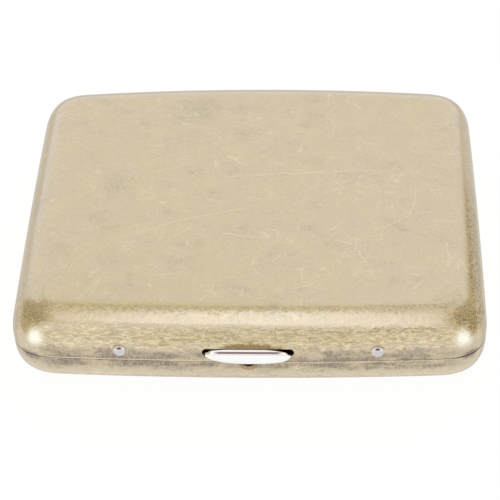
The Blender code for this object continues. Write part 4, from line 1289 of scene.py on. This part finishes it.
def hinge_leaf(half, first, count, rows, finish):
    """A leaf: the plate soldered inside the back wall and its row of rolled knuckles."""
    name = half.name + "_leaf"
    pitch = HINGE_LENGTH / KNUCKLES
    half_widths = (HINGE_LENGTH / 2, (pitch - KNUCKLE_GAP) / 2)
    pieces = []
    for part, path, wide in zip(("_plate", "_knuckle"), leaf_path(half), half_widths):
        rings = [sheet_ring(x, path, LEAF_SHEET / 2) for x in (-wide, wide)]
        pieces.append(add_object(name + part, loft(rings), finish))
    left = -HINGE_LENGTH / 2 + pitch * (first + 0.5)
    run_tree(pieces[1], rows, {
        "Count": count, "Spacing": 2 * pitch, "First": (left, 0.0, 0.0), "Finish": finish})
    return joined(name, pieces)


def hinge_pin(finish):
    low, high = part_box("hinge_pin")
    round_end = [(PIN_RADIUS * PIN_END * (1 - sin(turn)), PIN_RADIUS * (1 - PIN_END + PIN_END * cos(turn)))
                 for turn in (pi / 2 * (1 - share) for share in shares(PIN_STEPS))]
    profile = [(low.x + inset, radius) for inset, radius in round_end]
    profile += [(high.x - inset, radius) for inset, radius in reversed(round_end)]
    pin = add_object("hinge_rod", loft(turned(profile, "X")), finish)
    pin.data.transform(Matrix.Translation(HINGE_PLACE))
    return pin


# Retainers

def retainer_place(half):
    """A retainer's turning axis and its turn at rest, dropped onto the empty floor; its reach and centre."""
    level = CIGARETTE - PIVOT_HEIGHT
    pivot_y = HALF_DEPTH - half.rounding - BRACKET_TAIL - SEAT_GAP
    reach = pivot_y + HALF_DEPTH - half.rounding - ARM_TIP_MARGIN
    dropped = atan2(level, reach) + asin((PIVOT_HEIGHT - SEAT_GAP) / hypot(reach, level))
    centre = Vector((0, pivot_y, SEAM + half.up * (half.height - SHEET - PIVOT_HEIGHT)))
    return Matrix.Translation(centre) @ Matrix.Rotation(-half.up * dropped, 4, "X"), reach, centre


def retainer_arm(half, finish):
    """A strip rolled round the pin, up its neck and level along the cigarettes, with a round tip."""
    turn_to_rest, reach, _ = retainer_place(half)
    eye = RETAINER_PIN + BORE_GAP + ARM_SHEET / 2
    level = CIGARETTE - PIVOT_HEIGHT + ARM_SHEET / 2
    tip = ARM_WIDTH / 2
    neck = Vector((-eye, level - ARM_BEND))
    corner = Vector((-eye, level))
    level_start = Vector((-eye - ARM_BEND, level))
    path = [Vector(point) for point in arc((0, 0), eye, EYE_TURN - pi, -pi, EYE_STEPS)]
    path += [neck] + bend(neck, corner, level_start, LEAF_BEND_STEPS)
    path += straight(level_start, Vector((-(reach - tip), level)), ARM_STEPS)[:-1]
    wide = [tip] * len(path)
    for turn in (pi / 2 * min(share, ARM_TIP_SHARE) for share in shares(ARM_TIP_STEPS)):
        path.append(Vector((-(reach - tip + tip * sin(turn)), level)))
        wide.append(tip * cos(turn))
    arm = strip_body(half.name + "_arm", [(point.x, half.up * -point.y) for point in path], wide, ARM_SHEET,
                     SIDE_VIEW, finish)
    side = WINDOW_WIDTH / 2
    corners = [(-side, -2 * eye), (side, -2 * eye), (side, 2 * eye), (-side, 2 * eye)]
    low_z, high_z = sorted((half.up * 2 * eye, -half.up * WINDOW_HEIGHT))
    cut(arm, [prism("window", corners, low_z, high_z, finish, lambda x, y, z: (x, y, z))])
    arm.data.transform(turn_to_rest)
    return arm


def retainer_spring(half, wires, finish):
    """A torsion spring round the pin, with a leg on the bracket and one on the arm's neck."""
    radius = RETAINER_PIN + BORE_GAP + COIL_WIRE
    foot = PIVOT_HEIGHT - SEAT_GAP - BRACKET_SHEET - COIL_WIRE / 2 - SEAT_GAP
    wide = COIL_TURNS * COIL_PITCH / 2
    end = (radius * cos(COIL_LEAN), radius * sin(COIL_LEAN))
    tip = (end[0] - COIL_LEG * sin(COIL_LEAN), end[1] + COIL_LEG * cos(COIL_LEAN))
    name = half.name + "_coil"
    spring = run_tree(link_object(name, bpy.data.meshes.new(name)), wires, {
        "Radius": radius, "Turns": COIL_TURNS + COIL_LEAN / (2 * pi), "Width": 2 * wide,
        "Wire": COIL_WIRE / 2, "Reversed": half.up > 0, "First Foot": (-wide, radius, half.up * foot),
        "First End": (-wide, radius, 0.0), "Last Foot": (wide, end[0], -half.up * end[1]),
        "Last End": (wide, tip[0], -half.up * tip[1]), "Finish": finish})
    spring.data.transform(retainer_place(half)[0])
    return spring


def retainer_pin(half, finish):
    """The pin through eye, spring and ears, with a low domed head outside each ear."""
    ear = ARM_WIDTH / 2 + EAR_GAP + BRACKET_SHEET + BORE_GAP
    profile = domed(-ear - BRACKET_SHEET, 1, BRACKET_SHEET, RETAINER_PIN_HEAD) + [(-ear, RETAINER_PIN)]
    profile += [(-place, radius) for place, radius in reversed(profile)]
    pin = add_object(half.name + "_rod", loft(turned(profile, "X")), finish)
    pin.data.transform(Matrix.Translation(retainer_place(half)[2]))
    return pin


# Studio

def make_camera():
    back = Vector((sin(CAMERA_AZIMUTH) * cos(CAMERA_ELEVATION), -cos(CAMERA_AZIMUTH) * cos(CAMERA_ELEVATION),
                   sin(CAMERA_ELEVATION)))
    right = (-back).cross(Vector((0, 0, 1))).normalized()
    up = right.cross(-back)
    tilted_right = right * cos(CAMERA_ROLL) + up * sin(CAMERA_ROLL)
    tilted_up = up * cos(CAMERA_ROLL) - right * sin(CAMERA_ROLL)
    lens = bpy.data.cameras.new("camera")
    lens.lens = CAMERA_LENS
    lens.sensor_width = CAMERA_SENSOR
    lens.clip_start = CAMERA_NEAR
    camera = link_object("camera", lens)
    camera.matrix_world = Matrix.Translation(CAMERA_TARGET + back * CAMERA_DISTANCE) @ Matrix(
        (tilted_right, tilted_up, back)).transposed().to_4x4()
    bpy.context.scene.camera = camera


def brighten(level, wanted, *masks):
    """Bring a brightness to the wanted one where all masks are 1."""
    share = masks[0]
    for mask in masks[1:]:
        share = share * mask
    return level + calc("MULTIPLY", wanted - level, share)


def make_world():
    """The studio: white sweep behind, softbox above, two side lamps in front and a dim warm room between."""
    world = bpy.data.worlds.new("studio")
    world.use_nodes = True
    bpy.context.scene.world = world
    tree = world.node_tree
    x, y, z = parts(Value(tree.nodes.new("ShaderNodeTexCoord").outputs["Generated"]))
    # pitch: 0 overhead, 90 straight back, -90 straight in front; side: angle out of the middle plane;
    # heading: 0 straight in front, and azimuth: 0 straight back, both positive to the right
    pitch = calc("ARCTAN2", y, z) * TO_DEGREES
    side = calc("ARCSINE", x) * TO_DEGREES
    height = calc("ARCSINE", z) * TO_DEGREES
    heading = calc("ARCTAN2", x, y * -1.0) * TO_DEGREES
    azimuth = calc("ARCTAN2", x, y) * TO_DEGREES
    off_middle = abs(side)

    # what stands in front and above leans lower towards the right
    slant = calc("MINIMUM", calc("MAXIMUM", (side + 2.4) * 2.1, 0.0), 16.0)
    leaning = pitch + slant
    left_end = fade(azimuth, -50.0, -47.6)
    right_end = fade(azimuth + (45.0 - height) * 0.17, 50.0, 46.2)
    foot = fade(height, 22.0, 8.0)
    floor = fade(height, 3.0, -5.0)
    level = brighten(ROOM_LEVEL, MIDDLE_LEVEL, fade(abs(side - 2.0), 31.0, 6.0))
    level = brighten(level, FRONT_LEVEL, fade(pitch, -20.0, -62.0), fade(off_middle, 74.0, 38.0))
    level = brighten(level, FRONT_LEVEL, fade(leaning, -27.0, -33.0), fade(off_middle, 45.0, 20.0))
    level = brighten(level, SHELF_LEVEL, between(pitch, -74.0, -54.0, 3.0), fade(off_middle, 40.0, 20.0))
    level = brighten(level, HORIZON_LEVEL, between(pitch, -93.0, -79.0, 4.0), fade(off_middle, 24.0, 12.0))
    level = brighten(level, SWEEP_LEVEL, fade(height - slant, 49.9, 46.3), left_end, right_end)
    level = brighten(level, BACK_LEVEL, foot, left_end, right_end)
    level = brighten(level, FLOOR_LEVEL, floor)
    for centre, wide, lamp_height in LAMPS:
        aside = (heading - centre) / wide
        upward = (height - lamp_height) / LAMP_TALL
        level = brighten(level, LAMP_LEVEL, fade(aside * aside + upward * upward, 2.4, 0.35))
    across = (side + 2.2) / 10.5
    along = (pitch + 29.0 + across * across * 39.0) / 50.0
    from_middle = calc("POWER", abs(across), 4.0) + along * along
    level = brighten(level, SOFTBOX_LEVEL, fade(from_middle, 1.25, 0.65) * fade(leaning, -29.0, -22.0))
    lens_across = side - 3.0
    lens_along = pitch + 45.0
    from_lens = calc("SQRT", lens_across * lens_across + lens_along * lens_along)
    level = brighten(level, LENS_LEVEL, fade(from_lens, 7.0, 4.5))

    tint = add_node(tree, "ShaderNodeValToRGB", {0: level * 0.5})
    ramp = tint.color_ramp
    while len(ramp.elements) < len(STUDIO_TINTS):
        ramp.elements.new(0.5)
    for element, (brightness, colour) in zip(ramp.elements, STUDIO_TINTS):
        element.position = brightness / 2
        element.color = (*colour, 1.0)
    behind = fade(y, 0.1, 0.4)
    light = blend_colours(foot * behind * (left_end * right_end), Value(tint.outputs[0]), SWEEP_FOOT)
    light = blend_colours(floor * behind, light, FLOOR_BEHIND)
    seen = out_of(tree, "ShaderNodeLightPath", None, "Is Camera Ray")
    background = tree.nodes["Background"].inputs
    feed(background["Color"], blend_colours(seen, light, WHITE))
    feed(background["Strength"], 1.0)


def make_floor():
    """A plain pale floor that keeps a light shadow."""
    bpy.ops.mesh.primitive_circle_add(vertices=FLOOR_SIDES, radius=FLOOR_RADIUS, fill_type="NGON",
                                      location=(0, 0, -FLOOR_DROP))
    floor = bpy.context.object
    floor.name = "floor"
    made = bpy.data.materials.new("pale_floor")
    made.use_nodes = True
    tree = made.node_tree
    tree.nodes.remove(tree.nodes["Principled BSDF"])
    matt = out_of(tree, "ShaderNodeBsdfDiffuse", {"Color": FLOOR_COLOUR})
    glow = out_of(tree, "ShaderNodeEmission", {"Color": WHITE, "Strength": FLOOR_GLOW})
    path = tree.nodes.new("ShaderNodeLightPath").outputs
    share = Value(path["Is Camera Ray"]) * FLOOR_GLOW_SHARE
    shown = out_of(tree, "ShaderNodeMixShader", {0: share, 1: matt, 2: glow})
    backfacing = out_of(tree, "ShaderNodeNewGeometry", None, "Backfacing")
    unseen = calc("MAXIMUM", backfacing, Value(path["Is Glossy Ray"]))
    clear = out_of(tree, "ShaderNodeBsdfTransparent")
    surface = out_of(tree, "ShaderNodeMixShader", {0: unseen, 1: shown, 2: clear})
    feed(tree.nodes["Material Output"].inputs["Surface"], surface)
    floor.data.materials.append(made)


# The object

# Plain metals: name, colour, worn colour, stains, roughness, size of patches (mm) and height of relief
PLAIN_METALS = (
    ("inner_brass", (0.70, 0.56, 0.30), (0.62, 0.49, 0.26), (0.42, 0.30, 0.14), 0.30, 2.5, 0.000004),
    ("bright_brass", (0.78, 0.63, 0.36), (0.70, 0.55, 0.30), (0.45, 0.32, 0.15), 0.26, 1.2, 0.000004),
    ("nickel", (0.86, 0.84, 0.82), (0.80, 0.78, 0.76), (0.50, 0.46, 0.42), 0.12, 2.0, 0.000001),
    ("spring_steel", (0.45, 0.45, 0.46), (0.36, 0.36, 0.37), (0.22, 0.17, 0.13), 0.28, 1.2, 0.000004),
    ("raw_edge", (0.66, 0.49, 0.34), (0.57, 0.41, 0.27), (0.30, 0.17, 0.10), 0.38, 0.5, 0.000004),
)


def add_piece(piece, body, slot, *nodes):
    """Hand a finished piece over: the body it rides and the pieces it stands for; its material slot is not
    used.
    """
    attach(piece, body)
    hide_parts(*nodes)


def build():
    brass = aged_brass()
    inside, bright, nickel, steel, copper = (plain_metal(*row) for row in PLAIN_METALS)

    bores = rivet_bores(-HALF_DEPTH - SHEET, -HALF_DEPTH + LID_ROUND / 2, brass)
    lid = cut(shell(LID, brass, inside), [slot_tool(brass), hinge_tool(LID, brass), *bores])
    add_piece(lid, "lid", "aged_brass", "lid_shell")
    base = cut(shell(BASE, brass, inside), [notch_tool(copper), hinge_tool(BASE, brass)])
    add_piece(base, "base", "aged_brass", "base_shell")

    rows = row_tree()
    wires = wire_tree()
    add_piece(thumb_piece(thumb_nickel()), "latch", "nickel", "thumb_piece")
    add_piece(rivets(rows, rivet_nickel()), "lid", "nickel", "latch_rivet_left", "latch_rivet_right")
    add_piece(latch_strip(steel), "lid", "spring_steel", "latch_spring")
    add_piece(latch_hook(steel), "latch", "spring_steel", "latch_hook")
    add_piece(latch_stud(nickel), "latch", "nickel", "latch_stud")
    add_piece(catch_plate(copper), "base", "copper_wash", "catch_plate")
    add_piece(hinge_leaf(BASE, 0, 4, rows, bright), "base", "bright_brass", "hinge_leaf_base")
    add_piece(hinge_leaf(LID, 1, 3, rows, bright), "lid", "bright_brass", "hinge_leaf_lid")
    add_piece(hinge_pin(steel), "base", "spring_steel", "hinge_pin")
    for half in (BASE, LID):
        retainer = half.name + "_retainer"
        add_piece(retainer_arm(half, bright), retainer, "bright_brass", retainer + "_arm")
        add_piece(retainer_spring(half, wires, steel), retainer, "spring_steel", retainer + "_spring")
        add_piece(retainer_pin(half, steel), half.name, "spring_steel", retainer + "_pin")
        bracket = softened(half.name + "_saddle", retainer + "_bracket", bright)
        add_piece(bracket, half.name, "bright_brass", retainer + "_bracket")


make_camera()
make_world()
make_floor()
build()
bpy.context.scene.view_settings.view_transform = "Standard"
